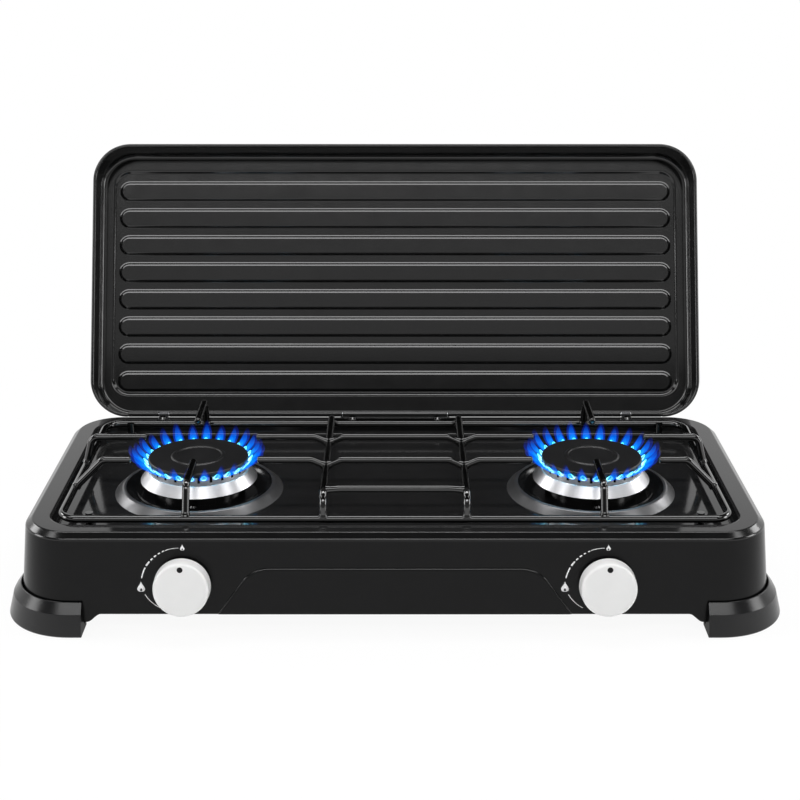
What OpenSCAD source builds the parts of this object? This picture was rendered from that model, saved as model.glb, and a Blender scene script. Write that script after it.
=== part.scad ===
// Two-burner tabletop gas stove with a hinged lid.
// Millimetres. X runs left to right, the front faces -Y, Z is up from the table.

/* [Body] */
// Width over the rim at the top of the skirt
body_w = 565; // [545:1:585]
// Depth over the rim at the top of the skirt
body_d = 264; // [256:2:276]
// Height of the rim above the table
rim_z = 77.5; // [74:0.5:84]
// Corner radius of the body in plan
corner_r = 38; // [36:1:42]
// Outward lean of the skirt in degrees
flare = 6; // [4:0.5:7]
// Thickness of the pressed steel
sheet = 0.8; // [0.6:0.1:1]
// Height of the skirt's lower edge between the feet
skirt_z = 15; // [13:0.2:16]
// How much lower the skirt reaches beside the feet
skirt_dip = 6.3; // [5:0.1:7]
// Length over which the lower edge dips
dip_run = 11; // [8:1:16]
// Height of the pressed front panel's top line below the rim
emboss_drop = 26; // [24:0.5:30]
// Distance of the pressed panel's top line ends inside the burners' axes
emboss_off = 65; // [60:1:78]
// Radius of the bends at the ends of the pressed panel's top line
emboss_r = 26; // [20:1:32]
// Slope of the pressed panel's ends in degrees
emboss_slope = 54; // [48:1:62]
// How far the pressed panel stands proud
emboss_h = 1.2; // [0.6:0.2:2]

/* [Rim and deck] */
// Radius of the rim's outer shoulder
rim_round = 6.5; // [5.5:0.5:7.5]
// Width of the rim's flat top
rim_flat = 11.5; // [10.5:0.5:12.5]
// Radius of the rim's inner edge
well_round = 2.5; // [2:0.5:3]
// Depth of the deck below the rim
well_depth = 10; // [9:0.5:12]
// Lean of the well's wall in degrees
well_lean = 8; // [4:1:12]
// Radius where the well's wall meets the deck
deck_round = 3; // [2:0.5:4]
// Outer radius of the raised ring round a burner
ring_out = 67; // [64:1:70]
// Radius of the crest of the raised ring
ring_crest = 60; // [57:1:62]
// Height of the raised ring above the deck
ring_h = 5; // [3:0.5:6]
// Height of the burner seat above the deck
seat_h = 1; // [0.5:0.5:2]

/* [Feet] */
// Height of a foot
foot_h = 23.2; // [21:0.1:26]
// Height of the foot's lower face
foot_break = 14.5; // [12:0.1:17]
// How far the foot's lower face leans out
foot_lean = 4.3; // [2:0.1:6]
// How far a foot stands out past the skirt at the table
foot_out = 9.5; // [8:0.5:12]
// Distance from the body's side to the end of a foot
foot_reach = 47; // [44:1:54]
// Thickness of the foot's top lip
foot_lip = 1.8; // [1.5:0.1:3]
// Play between a foot and the skirt that it grips
foot_play = 0.2; // [0.1:0.05:0.3]

/* [Lid] */
// Depth of the lid
lid_h = 35; // [34.5:0.5:40]
// Angle that the lid opens through, in degrees
lid_open = 113; // [100:1:114]
// Thickness of the lid's sheet
lid_sheet = 0.8; // [0.6:0.1:1]
// Set-back of the lid's front edge on the rim's flat
lid_front_set = 8.8; // [7:0.2:10]
// Set-back of the lid's sides on the rim's flat
lid_side_set = 1.7; // [0:0.1:3]
// Corner radius of the lid in plan
lid_r = 34; // [32:1:36]
// Inward lean of the lid's flange in degrees
lid_lean = 5; // [3:0.5:6]
// Radius between the lid's flange and its top
lid_round = 5; // [4:0.5:7]
// Radius of the rolled edge of the lid
lid_roll_r = 1.6; // [1.4:0.1:1.8]
// How far the lid's middle field is pressed up
field_rise = 2; // [1:0.5:3]
// Field's distance from the lid's sides
field_side = 12.5; // [12:0.5:18]
// Field's distance from the lid's front edge
field_front = 17.3; // [16:0.1:22]
// Field's distance from the hinge side
field_back = 20.6; // [18:0.1:24]
// Corner radius of the field
field_r = 17; // [14:1:20]
// Number of ribs pressed into the field
rib_n = 8; // [6:1:8]
// Width of a rib at its foot
rib_w = 18; // [14:0.5:19]
// Gap from the first rib to the field's front edge
rib_front_gap = 6.2; // [4:0.1:9]
// Gap from the last rib to the field's edge at the hinge
rib_back_gap = 2; // [1:0.1:5]
// Depth of a rib
rib_h = 2.5; // [1.5:0.5:3]
// Gap from a rib's end to the field's edge
rib_end_gap = 3; // [2:0.5:10]

/* [Hinge] */
// Radius of the hinge rod
rod_r = 1.5; // [1.2:0.1:1.6]
// Radius of the rolled hinge knuckles
knuckle_r = 2.5; // [2.4:0.1:2.7]
// Height of the hinge axis above the rim
hinge_rise = 2; // [1.9:0.1:2.4]
// Running clearance of the rod, on the radius
rod_play = 0.05; // [0.02:0.01:0.1]
// Half length of the lid's row of knuckles
knuckle_half = 240; // [230:1:244]
// Distance of a hinge clip from the middle
clip_x = 208; // [190:1:220]
// Width of a hinge clip
clip_w = 8; // [7:1:12]
// Half width of the middle bracket at the hinge
bracket_half = 47; // [40:1:55]
// How much the bracket widens on each side towards the front
bracket_spread = 8; // [4:1:12]
// Thickness of the bracket and the clips
bracket_t = 1.2; // [1:0.1:1.4]
// Gap between neighbouring knuckles
knuckle_gap = 0.6; // [0.4:0.1:1]

/* [Burners] */
// Distance of a burner's axis inside the rim's side
burner_side = 123.5; // [120:0.5:128]
// Distance of the burners' axes behind the rim's front
burner_front = 113; // [110:1:118]
// Radius of the burner cap
cap_r = 40.4; // [38.5:0.1:42]
// Height of the cap's top above the rim
cap_top = 19.3; // [18.5:0.1:20]
// Thickness of the cap
cap_t = 3.8; // [3:0.1:4.5]
// Radius of the raised ring on the cap
cap_ring_r = 20.2; // [18:0.1:26]
// Radius of the ported burner head
head_r = 39.6; // [38:0.1:40]
// Height of the ported wall
head_h = 6.6; // [6:0.1:7]
// Number of flame ports
port_n = 26; // [20:1:30]
// Width of a flame port
port_w = 2; // [1.5:0.1:2.5]
// Depth of a flame port
port_h = 4.4; // [3:0.1:5]
// Radius of the polished collar at its lower edge
collar_low_r = 45.3; // [44:0.1:48]
// Radius of the polished collar at its upper edge
collar_top_r = 41.5; // [41:0.1:43]
// Height of the polished collar
collar_h = 8.8; // [6:0.1:9.5]
// Thickness of the polished collar
collar_t = 0.8; // [0.6:0.1:1]
// Inner radius of the burner cup's neck
neck_r = 35; // [34:0.5:36]
// Wall of the burner cup
cup_wall = 1.6; // [1.2:0.1:2]
// Radius of the cup's lower chamber
chamber_r = 24; // [22:0.5:26]
// Height of the chamber's floor above the table
chamber_z = 19; // [18:0.5:20]
// Outer radius of the mixing tube
tube_r = 9; // [8:0.5:10]
// Wall of the mixing tube
tube_wall = 1; // [0.8:0.1:1.2]
// Number of screws that hold a burner cup
cup_screw_n = 3; // [3:1:4]

/* [Grate] */
// Diameter of the grate's wire
wire_d = 6; // [5:0.5:6.5]
// Height of the finger wires above the rim, at their middle
finger_z = 25.6; // [25:0.1:27]
// Height of the frame wire above the rim, at its middle
frame_z = 1.8; // [1:0.1:3]
// Height of the cross bars above the rim
bar_z = 20.5; // [19:0.5:21]
// Distance of the frame's sides inside the rim's sides
frame_side = 27.5; // [25:0.5:30]
// Distance of the frame's front run behind the rim's front
frame_front_in = 24.5; // [22:0.5:28]
// Distance of the frame's back run inside the rim's back
frame_back_in = 28; // [24:0.5:32]
// Bend radius of the frame's corners
frame_bend = 14; // [12:1:20]
// Distance of a cross bar from the burner's axis
bar_off = 104.5; // [101:0.5:109]
// Length over which a cross bar falls to the back run
bar_fall = 38; // [29:1:49]
// Distance of the side fingers from the burner's middle, front to back
finger_y = 26; // [22:0.5:30]
// Reach of the front pair's tips from the burner's middle
tip_front = 50; // [46:1:54]
// Reach of the back pair's tips from the burner's middle
tip_back = 45; // [44:1:50]
// Length of the front fingers' level part
front_run = 48; // [44:1:50]
// Length of the back fingers' level part
back_run = 51; // [46:1:52]
// Sideways distance of the back fingers from the burners' axes
back_off = 7.8; // [0:0.2:9]
// Bend radius of the fingers
finger_bend = 7; // [6:0.5:9]
// Distance of the front rung behind the front run
rung_in = 12.5; // [11.5:1:19.5]
// Gap left for the weld where wires meet
weld_gap = 0.1; // [0.05:0.05:0.2]
// Distance of the legs inside the frame's sides
leg_off = 22; // [18:1:33]
// Radius of a leg's rubber tip
leg_tip_r = 4.5; // [4:0.5:5]

/* [Taps] */
// Height of the knob's axis below the rim
knob_drop = 38.8; // [37:0.2:41]
// Radius of the knob's base
knob_base_r = 21.4; // [20:0.1:23]
// Radius of the knob's face
knob_face_r = 20.9; // [18.5:0.1:21]
// Height of the knob
knob_h = 12.5; // [11:0.5:14]
// Travel of the knob when it is pushed in
knob_push = 2.5; // [1.5:0.1:3]
// Gap left under the knob when it is pushed in
knob_gap = 0.5; // [0.3:0.1:1]
// Radius of the spindle
spindle_r = 3; // [2.8:0.1:3.4]
// Radius of the tap's body
tap_r = 11; // [10:0.5:12]
// Large radius of the taper plug
plug_r = 6.5; // [6:0.1:7]
// Length of the taper plug
plug_len = 18; // [16:0.5:20]
// Length of the spring chamber
spring_len = 13; // [12:0.5:15]
// Radius of the spring at its wire
spring_r = 4.6; // [4.4:0.1:5]
// Radius of the spring's wire
spring_wire_r = 0.45; // [0.3:0.05:0.5]
// Number of turns of the spring
spring_turns = 6; // [4:1:6]
// Running clearance of turning pieces, on the radius
run_play = 0.05; // [0.02:0.01:0.1]
// Distance of the tap's fixing screws from its axis
tap_screw_x = 13; // [12.5:0.5:14]

/* [Gas line] */
// Outer radius of the gas pipe
pipe_r = 5; // [4.5:0.5:6]
// Wall of the gas pipe
pipe_wall = 1; // [0.8:0.1:1.2]
// Height of the pipe above the tap's axis
pipe_rise = 18; // [17.5:0.5:19]
// Distance of the pipe's run to the back inside the rim's side
pipe_in = 66.5; // [60.5:1:70.5]
// Bend radius of the pipe
pipe_bend = 25; // [20:1:30]
// Radius of the hose stub
stub_r = 4.5; // [4:0.1:5]
// Length of the hose stub
stub_len = 22; // [18:1:28]
// Seating clearance of pieces that stay put
seat_play = 0.1; // [0.05:0.05:0.2]

/* [Hidden] */
$fn = 64;

LEFT = -1;
RIGHT = 1;
ENAMEL = "#1c1d1f";
LID_GREY = "#2b2c2e";
PLASTIC = "#26272a";
STEEL = "#b9bcc0";
ALUMINIUM = "#c9ccd0";
BRASS = "#b99a4f";
KNOB_WHITE = "#f2f2f0";
RUBBER = "#141414";

// Rectangle of the body's corner centres
hw = body_w / 2 - corner_r;
hd = body_d / 2 - corner_r;
// Places that follow the body's outline
burner_x = body_w / 2 - burner_side;
burner_y = burner_front - body_d / 2;
emboss_half = burner_x - emboss_off;
frame_half_w = body_w / 2 - frame_side;
frame_front = frame_front_in - body_d / 2;
frame_back = body_d / 2 - frame_back_in;
bar_x = burner_x - bar_off;
bar_back = frame_back - bar_fall;
rung_front = frame_front + rung_in;
leg_x = frame_half_w - leg_off;
pipe_x = body_w / 2 - pipe_in;
// Rim and well, as distances outward from that rectangle
flat_out = corner_r - rim_round * (1 - sin(flare)) / cos(flare);
flat_in = flat_out - rim_flat;
deck_z = rim_z - well_depth;
wall_top = [flat_in - well_round * cos(well_lean), rim_z - well_round + well_round * sin(well_lean)];
wall_low_z = deck_z + deck_round * (1 - sin(well_lean));
wall_low = [wall_top[0] - (wall_top[1] - wall_low_z) * tan(well_lean), wall_low_z];
deck_edge = wall_low[0] - deck_round * cos(well_lean);
skirt_low = skirt_z - skirt_dip;
sheet_across = sheet / cos(flare);
arc_steps = 8;
// Burner seat
seat_z = deck_z + seat_h;
seat_r = ring_crest - 8;
hole_r = neck_r + cup_wall + 1;
flange_r = seat_r - 2;
flange_t = 1.5;
collar_z = rim_z + cap_top - cap_t - 0.3 - head_h - collar_t;
head_z = collar_z + collar_t;
cap_z = head_z + head_h + 0.3;
cup_screw_r = (hole_r + flange_r) / 2;
cup_screw_d = 3;
cup_screw_len = 6;
cup_screw_head_r = 2.8;
cup_screw_head_h = 1.4;
head_wall = 4;
head_spigot = 8;
head_spigot_t = 2;
cap_spigot_r = head_r - head_wall - 1.4;
cap_spigot_h = 2;
cap_spigot_t = 2;
// Hinge and lid
hinge_y = body_d / 2 - knuckle_r;
hinge_z = rim_z + hinge_rise;
lid_back = knuckle_r;
lid_front = -(hd + flat_out - lid_front_set) - hinge_y;
lid_half = hw + flat_out - lid_side_set;
lid_hw = lid_half - lid_r;
lid_hd = (lid_back - lid_front) / 2 - lid_r;
lid_mid = (lid_back + lid_front) / 2;
border_z = lid_h - field_rise - hinge_rise;
field_z = lid_h - hinge_rise;
roll_proud = 0.3;
flange_c = lid_r - roll_proud - (lid_round + (border_z - lid_round) * sin(lid_lean)) / cos(lid_lean);
field_hw = lid_half - field_side - field_r;
field_depth = lid_back - lid_front - field_front - field_back;
field_hd = field_depth / 2 - field_r;
field_mid = lid_front + field_front + field_depth / 2;
step_run = 4;
step_lap = 1;
rib_half = field_hw + field_r - step_run - rib_end_gap;
rib_first = lid_front + field_front + step_run + rib_front_gap + rib_w / 2;
rib_pitch = (field_depth - 2 * step_run - rib_front_gap - rib_back_gap - rib_w) / (rib_n - 1);
notch_r = knuckle_r + 0.7;
// Taps
knob_z = rim_z - knob_drop;
panel_y = -(body_d / 2 + knob_drop * tan(flare));
bonnet_t = 2;
bonnet_z = -sheet - seat_play - bonnet_t;
tap_front = bonnet_z - seat_play;
collar_gap = 0.4;
stem_collar_t = 2;
stem_collar_r = spring_r + 0.4;
stem_collar_z = bonnet_z - collar_gap - stem_collar_t;
plug_top = tap_front - spring_len;
plug_end = plug_top - plug_len;
plug_small_r = plug_r - 1.5;
tongue_r = 2.2;
tap_end = plug_end - 6;
neck_len = 6;
neck_out_r = 6.5;
port_z = plug_end + 6;
port_r = 1.6;
spigot_r = 4;
injector_r = 3.4;
injector_len = 14;
injector_z = tap_end - neck_len;
knob_base = knob_push + knob_gap;
screw_r = 2;
screw_head_r = 3.6;
screw_head_h = 1.6;
hinge_screw_len = 6;
tap_screw_len = 9;
// Gas line
pipe_y = panel_y - port_z * cos(flare) + pipe_rise * sin(flare);
pipe_z = knob_z + port_z * sin(flare) + pipe_rise * cos(flare);
rear_y = body_d / 2 + (rim_z - pipe_z) * tan(flare);
inlet_in = 22;
pipe_end_y = rear_y - inlet_in;
inlet_r = 8;
inlet_socket = 8;
inlet_step = 2;
nut_t = 5;
stub_gap = 4;
pipe_over = 16;
pipe_cap_wall = 1.5;
pipe_cap_end = 2;
pipe_cap_len = 8;
// Grate
weld_short = wire_d / 2 + weld_gap;
bend_slim = 0.04;
bend_lap = 0.2;
shoulder_run = 12;
side_rise = 6;
front_rise = 11;
back_rise = 9;
frame_zz = rim_z + frame_z;
bar_zz = rim_z + bar_z;
finger_zz = rim_z + finger_z;
rung_zz = bar_zz + 1;
leg_in = wire_d + weld_gap;

function arc(c, r, a0, a1, n) =
  [for (i = [0:n]) c + r * [cos(a0 + (a1 - a0) * i / n), sin(a0 + (a1 - a0) * i / n)]];

// Smooth step from one point to another, level at both ends
function ease(p, q, n) =
  [for (i = [0:n]) [p[0] + (q[0] - p[0]) * i / n, p[1] + (q[1] - p[1]) * (1 - cos(180 * i / n)) / 2]];

function reversed(p) = [for (i = [len(p) - 1:-1:0]) p[i]];

function shifted(p, d) = [for (q = p) q + d];

function skirt_u(z) = corner_r + (rim_z - z) * tan(flare);

function wrap(a) = a > 180 ? a - 360 : a < -180 ? a + 360 : a;

// Section swept along the four straight sides of a rounded rectangle
module along_sides(w, d, sides = [0, 1, 2, 3]) {
  for (k = sides) {
    across = k % 2 == 0 ? w : d;
    run = k % 2 == 0 ? d : w;
    rotate([0, 0, 90 * k])
      translate([across, run, 0])
        rotate([90, 0, 0])
          linear_extrude(2 * run)
            children();
  }
}

// Section swept round the four corners of a rounded rectangle
module round_corners(w, d) {
  for (k = [0:3])
    translate([(k == 0 || k == 3 ? 1 : -1) * w, (k < 2 ? 1 : -1) * d, 0])
      rotate([0, 0, 90 * k])
        rotate_extrude(angle = 90)
          children();
}

module sweep_round(w, d) {
  along_sides(w, d)
    children();
  round_corners(w, d)
    children();
}

module round_rect(w, d, r) {
  square([2 * (w + r), 2 * d], center = true);
  square([2 * w, 2 * (d + r)], center = true);
  for (sx = [-1, 1], sy = [-1, 1])
    translate([sx * w, sy * d])
      circle(r);
}

// Bent round wire along flat points; each end can stop short of its last point.
// The bends are a hair thinner and reach into the straights, so that the pieces join.
module wire_path(p, d, r, short_start = 0, short_end = 0) {
  n = len(p);
  way = [for (i = [0:n - 2]) atan2(p[i + 1][1] - p[i][1], p[i + 1][0] - p[i][0])];
  run = [for (i = [0:n - 2]) norm(p[i + 1] - p[i])];
  turn = [for (i = [0:n - 1]) i == 0 || i == n - 1 ? 0 : wrap(way[i] - way[i - 1])];
  cut = [for (i = [0:n - 1]) i == 0 ? short_start : i == n - 1 ? short_end : r * tan(abs(turn[i]) / 2)];
  lap = bend_lap / r * 180 / PI;
  for (i = [0:n - 2])
    translate(p[i])
      rotate([0, 0, way[i]])
        translate([cut[i], 0, 0])
          rotate([0, 90, 0])
            cylinder(d = d, h = run[i] - cut[i] - cut[i + 1]);
  for (i = [1:1:n - 2])
    translate(p[i])
      rotate([0, 0, way[i - 1]])
        translate([-cut[i], sign(turn[i]) * r, 0])
          rotate([0, 0, (turn[i] > 0 ? -90 : 90 + turn[i]) - lap])
            rotate_extrude(angle = abs(turn[i]) + 2 * lap)
              translate([r, 0])
                circle(d = d - bend_slim);
}

// Plane across the stove at a given depth, with x and height as its axes
module across_at(y) {
  translate([0, y, 0])
    rotate([90, 0, 0])
      children();
}

// Plane along the stove's depth at a given x
module along_at(x) {
  translate([x, 0, 0])
    rotate([90, 0, 90])
      children();
}

module at_burner(side) {
  translate([side * burner_x, burner_y, 0])
    children();
}

// Tap frame: origin on the front panel, z out of the panel, y up along it
module at_tap(side) {
  translate([side * burner_x, panel_y, knob_z])
    rotate([90 - flare, 0, 0])
      children();
}

module at_hinge() {
  translate([0, hinge_y, hinge_z])
    children();
}

// Rod or tube along X between two places
module x_rod(x0, x1, r) {
  translate([x0, 0, 0])
    rotate([0, 90, 0])
      cylinder(r = r, h = x1 - x0);
}

// Body shell

module shell_section() {
  shoulder = [flat_out, rim_z - rim_round];
  edge = [flat_in, rim_z - well_round];
  fillet = [deck_edge, deck_z + deck_round];
  outer = concat(
    [[skirt_u(skirt_low), skirt_low]],
    arc(shoulder, rim_round, flare, 90, arc_steps),
    arc(edge, well_round, 90, 180 - well_lean, arc_steps),
    arc(fillet, deck_round, -well_lean, -90, arc_steps),
    [[deck_edge - 4, deck_z]]
  );
  inner = concat(
    [[skirt_u(skirt_low) - sheet_across, skirt_low]],
    arc(shoulder, rim_round - sheet, flare, 90, arc_steps),
    arc(edge, well_round - sheet, 90, 180 - well_lean, arc_steps),
    arc(fillet, deck_round + sheet, -well_lean, -90, arc_steps),
    [[deck_edge - 4, deck_z - sheet]]
  );
  polygon(concat(outer, reversed(inner)));
}

// Raised ring, burner seat and hole pressed into the deck
module ring_section() {
  top = concat(
    [[ring_out + 2, deck_z]],
    [[ring_out, deck_z], [ring_crest + 1, deck_z + ring_h]],
    ease([ring_crest - 1, deck_z + ring_h], [seat_r, seat_z], arc_steps),
    [[hole_r, seat_z]]
  );
  polygon(concat(top, reversed(shifted(top, [0, -sheet]))));
}

// Opening under the skirt's lower edge between two feet
module dip_outline(half) {
  polygon(concat(
    [[-half, skirt_low - 1]],
    ease([-half, skirt_low], [-half + dip_run, skirt_z], arc_steps),
    ease([half - dip_run, skirt_z], [half, skirt_low], arc_steps),
    [[half, skirt_low - 1]]
  ));
}

// Pressed front panel in the tap frame's plane
module emboss_outline() {
  top = (knob_drop - emboss_drop) / cos(flare);
  bottom = (skirt_z - 2 - knob_z) / cos(flare);
  bend = arc([emboss_half, top - emboss_r], emboss_r, 90, 90 - emboss_slope, arc_steps);
  end = bend[arc_steps];
  wide = end[0] + (end[1] - bottom) / tan(emboss_slope);
  right = concat(bend, [[wide, bottom]]);
  left = [for (q = reversed(right)) [-q[0], q[1]]];
  polygon(concat(left, right));
}

module tap_holes() {
  translate([0, 0, -3])
    cylinder(r = spindle_r + 2, h = 6);
  for (s = [-1, 1])
    translate([s * tap_screw_x, 0, -3])
      cylinder(r = screw_r + seat_play, h = 6);
}

module hinge_screw_places() {
  for (s = [-1, 1]) {
    translate([s * (bracket_half - 9), hd + (flat_in + flat_out) / 2, rim_z])
      children();
    translate([s * clip_x, hd + (flat_in + flat_out) / 2, rim_z])
      children();
  }
}

module cup_screw_places(side) {
  at_burner(side)
    for (i = [0:cup_screw_n - 1])
      rotate([0, 0, 360 * i / cup_screw_n + 30])
        translate([cup_screw_r, 0, seat_z])
          children();
}

module body_shell() {
  foot_end_x = body_w / 2 - foot_reach;
  foot_end_y = body_d / 2 - foot_reach;
  color(ENAMEL)
    difference() {
      union() {
        sweep_round(hw, hd)
          shell_section();
        difference() {
          translate([0, 0, deck_z - sheet])
            linear_extrude(sheet)
              round_rect(hw, hd, deck_edge - 2);
          for (side = [LEFT, RIGHT])
            at_burner(side)
              translate([0, 0, deck_z - 2])
                cylinder(r = ring_out + 1, h = 4);
        }
        for (side = [LEFT, RIGHT])
          at_burner(side)
            rotate_extrude()
              ring_section();
        translate([0, panel_y, knob_z])
          rotate([90 - flare, 0, 0])
            translate([0, 0, -sheet])
              linear_extrude(sheet + emboss_h)
                emboss_outline();
      }
      across_at(0)
        translate([0, 0, -body_d])
          linear_extrude(2 * body_d)
            dip_outline(foot_end_x - 3);
      along_at(0)
        translate([0, 0, -body_w])
          linear_extrude(2 * body_w)
            dip_outline(foot_end_y - 3);
      for (side = [LEFT, RIGHT]) {
        at_tap(side)
          tap_holes();
        cup_screw_places(side)
          translate([0, 0, -3])
            cylinder(r = cup_screw_d / 2 + seat_play, h = 6);
      }
      hinge_screw_places()
        translate([0, 0, -3])
          cylinder(r = screw_r + seat_play, h = 6);
      translate([pipe_x, rear_y, pipe_z])
        rotate([90, 0, 0])
          cylinder(r = inlet_r - 2 + seat_play, h = 12, center = true);
    }
}

// Corner foot that grips the skirt's lower edge
module foot_section() {
  groove = skirt_low - seat_play;
  rib_top = foot_break;
  inside = sheet_across + foot_play;
  outer = skirt_u(0) + foot_out;
  polygon([
    [skirt_u(0) - 14, 0],
    [outer - 1, 0],
    [outer, 1],
    [outer - foot_lean, foot_break],
    [skirt_u(foot_h) + foot_play + foot_lip, foot_h - 0.6],
    [skirt_u(foot_h) + foot_play + foot_lip - 0.6, foot_h],
    [skirt_u(foot_h) + foot_play + 0.5, foot_h],
    [skirt_u(foot_h - 3) + foot_play, foot_h - 3],
    [skirt_u(groove) + foot_play, groove],
    [skirt_u(groove) - inside, groove],
    [skirt_u(rib_top) - inside, rib_top],
    [skirt_u(rib_top) - inside - 2, rib_top],
    [skirt_u(rib_top) - inside - 2.4, 4],
    [skirt_u(0) - 14, 4]
  ]);
}

module foot(sx, sy) {
  leg = foot_reach - corner_r;
  color(PLASTIC)
    mirror([sx < 0 ? 1 : 0, 0, 0])
      mirror([0, sy < 0 ? 1 : 0, 0])
        translate([hw, hd, 0]) {
          rotate_extrude(angle = 90)
            foot_section();
          rotate([90, 0, 0])
            linear_extrude(leg)
              foot_section();
          translate([-leg, 0, 0])
            rotate([90, 0, 90])
              linear_extrude(leg)
                foot_section();
        }
}

module foot_front_left() {
  foot(LEFT, -1);
}

module foot_front_right() {
  foot(RIGHT, -1);
}

module foot_rear_left() {
  foot(LEFT, 1);
}

module foot_rear_right() {
  foot(RIGHT, 1);
}

// Lid, drawn closed about the hinge axis and then swung open

module flange_section() {
  c = [flange_c, border_z - lid_round];
  foot_u = lid_r - roll_proud;
  outer = concat([[foot_u, 0]], arc(c, lid_round, lid_lean, 90, arc_steps), [[flange_c - 3, border_z]]);
  inner = concat(
    [[foot_u - lid_sheet / cos(lid_lean), 0]],
    arc(c, lid_round - lid_sheet, lid_lean, 90, arc_steps),
    [[flange_c - 3, border_z - lid_sheet]]
  );
  polygon(concat(outer, reversed(inner)));
}

module roll_section() {
  translate([lid_r - lid_roll_r, 0])
    circle(lid_roll_r);
}

module step_section() {
  top = concat(
    [[field_r + step_lap, border_z]],
    ease([field_r, border_z], [field_r - step_run, field_z], arc_steps),
    [[field_r - step_run - step_lap, field_z]]
  );
  polygon(concat(top, reversed(shifted(top, [0, -lid_sheet]))));
}

// Long rib with round ends, wider at its upper side
module rib_block(r_top, r_low, h) {
  span = rib_half - rib_w / 2;
  translate([-span, 0, 0])
    rotate([90, 0, 90])
      linear_extrude(2 * span)
        polygon([[-r_low, 0], [r_low, 0], [r_top, h], [-r_top, h]]);
  for (s = [-1, 1])
    translate([s * span, 0, 0])
      cylinder(r1 = r_low, r2 = r_top, h = h);
}

module rib_places() {
  for (i = [0:rib_n - 1])
    translate([0, rib_first + rib_pitch * i, 0])
      children();
}

module lid_panel() {
  difference() {
    translate([0, lid_mid, border_z - lid_sheet])
      linear_extrude(lid_sheet)
        round_rect(lid_hw, lid_hd, flange_c - 2);
    translate([0, field_mid, border_z - 2])
      linear_extrude(4)
        round_rect(field_hw, field_hd, field_r + step_lap / 2);
  }
  translate([0, field_mid, 0])
    sweep_round(field_hw, field_hd)
      step_section();
  translate([0, field_mid, field_z - lid_sheet])
    linear_extrude(lid_sheet)
      round_rect(field_hw, field_hd, field_r - step_run - step_lap / 2);
}

// Knuckles run between the bracket and the clips, and outside the clips
module knuckles(r) {
  clip_in = clip_x - clip_w / 2 - knuckle_gap;
  clip_out = clip_x + clip_w / 2 + knuckle_gap;
  spans = [[bracket_half + knuckle_gap, clip_in], [clip_out, knuckle_half]];
  for (s = spans) {
    x_rod(s[0], s[1], r);
    x_rod(-s[1], -s[0], r);
  }
}

module knuckle_notches() {
  x_rod(-bracket_half - knuckle_gap, bracket_half + knuckle_gap, notch_r);
  for (s = [-1, 1])
    x_rod(s * clip_x - clip_w / 2 - knuckle_gap, s * clip_x + clip_w / 2 + knuckle_gap, notch_r);
}

module lid() {
  rib_low = field_z - rib_h - lid_sheet;
  rib_r = rib_w / 2;
  rib_slope = 1.6;
  color(LID_GREY)
    at_hinge()
      rotate([-lid_open, 0, 0])
        difference() {
          union() {
            translate([0, lid_mid, 0]) {
              sweep_round(lid_hw, lid_hd)
                flange_section();
              along_sides(lid_hw, lid_hd, [0, 2, 3])
                roll_section();
              round_corners(lid_hw, lid_hd)
                roll_section();
            }
            difference() {
              lid_panel();
              rib_places()
                translate([0, 0, field_z - 2])
                  rib_block(rib_r - 0.5, rib_r - 0.5, 4);
            }
            rib_places()
              translate([0, 0, rib_low])
                difference() {
                  rib_block(rib_r, rib_r - rib_slope, rib_h + lid_sheet);
                  translate([0, 0, lid_sheet])
                    rib_block(rib_r - lid_sheet, rib_r - rib_slope - lid_sheet, rib_h + lid_sheet);
                }
            knuckles(knuckle_r);
          }
          knuckle_notches();
          x_rod(-knuckle_half - 1, knuckle_half + 1, rod_r + rod_play);
        }
}

module hinge_rod() {
  color(STEEL)
    at_hinge()
      x_rod(-knuckle_half, knuckle_half, rod_r);
}

// Plate on the rim's flat that curls round the rod
module hinge_strap(half, spread) {
  front = hd + flat_in + 0.5 - hinge_y;
  neck = -notch_r;
  difference() {
    union() {
      x_rod(-half, half, knuckle_r);
      translate([0, 0, -hinge_rise + seat_play])
        linear_extrude(bracket_t)
          polygon([
            [-half, 0],
            [half, 0],
            [half, neck],
            [half + spread, front],
            [-half - spread, front],
            [-half, neck]
          ]);
    }
    x_rod(-half - 1, half + 1, rod_r + seat_play / 2);
  }
}

module strap_with_holes(x, half, spread) {
  color(STEEL)
    difference() {
      translate([x, hinge_y, hinge_z])
        hinge_strap(half, spread);
      hinge_screw_places()
        translate([0, 0, -3])
          cylinder(r = screw_r + seat_play, h = 9);
    }
}

module hinge_clips() {
  for (s = [-1, 1])
    strap_with_holes(s * clip_x, clip_w / 2, 0);
}

module hinge_bracket() {
  strap_with_holes(0, bracket_half, bracket_spread);
}

module pan_screw(shank, length, head, head_h) {
  translate([0, 0, -length])
    cylinder(r = shank, h = length);
  cylinder(r1 = head, r2 = head * 0.7, h = head_h);
}

module hinge_screws() {
  color(STEEL)
    hinge_screw_places()
      translate([0, 0, bracket_t + 2 * seat_play])
        pan_screw(screw_r, hinge_screw_len, screw_head_r, screw_head_h);
}

// Burners

module cup_section() {
  r = neck_r + cup_wall;
  shoulder_z = seat_z - 22;
  low = chamber_r + cup_wall;
  polygon([
    [0, chamber_z],
    [low, chamber_z],
    [low, shoulder_z - 8],
    [r, shoulder_z],
    [r, seat_z + seat_play],
    [flange_r, seat_z + seat_play],
    [flange_r, seat_z + seat_play + flange_t],
    [r, seat_z + seat_play + flange_t],
    [r, collar_z - seat_play],
    [neck_r, collar_z - seat_play],
    [neck_r, shoulder_z + 1],
    [chamber_r, shoulder_z - 7],
    [chamber_r, chamber_z + cup_wall],
    [0, chamber_z + cup_wall]
  ]);
}

// Where the mixing tube starts and stops along the tap's axis
tube_mouth = injector_z - injector_len + 5;
tube_end = -(burner_y - panel_y - chamber_r + 3) / cos(flare);

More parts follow.
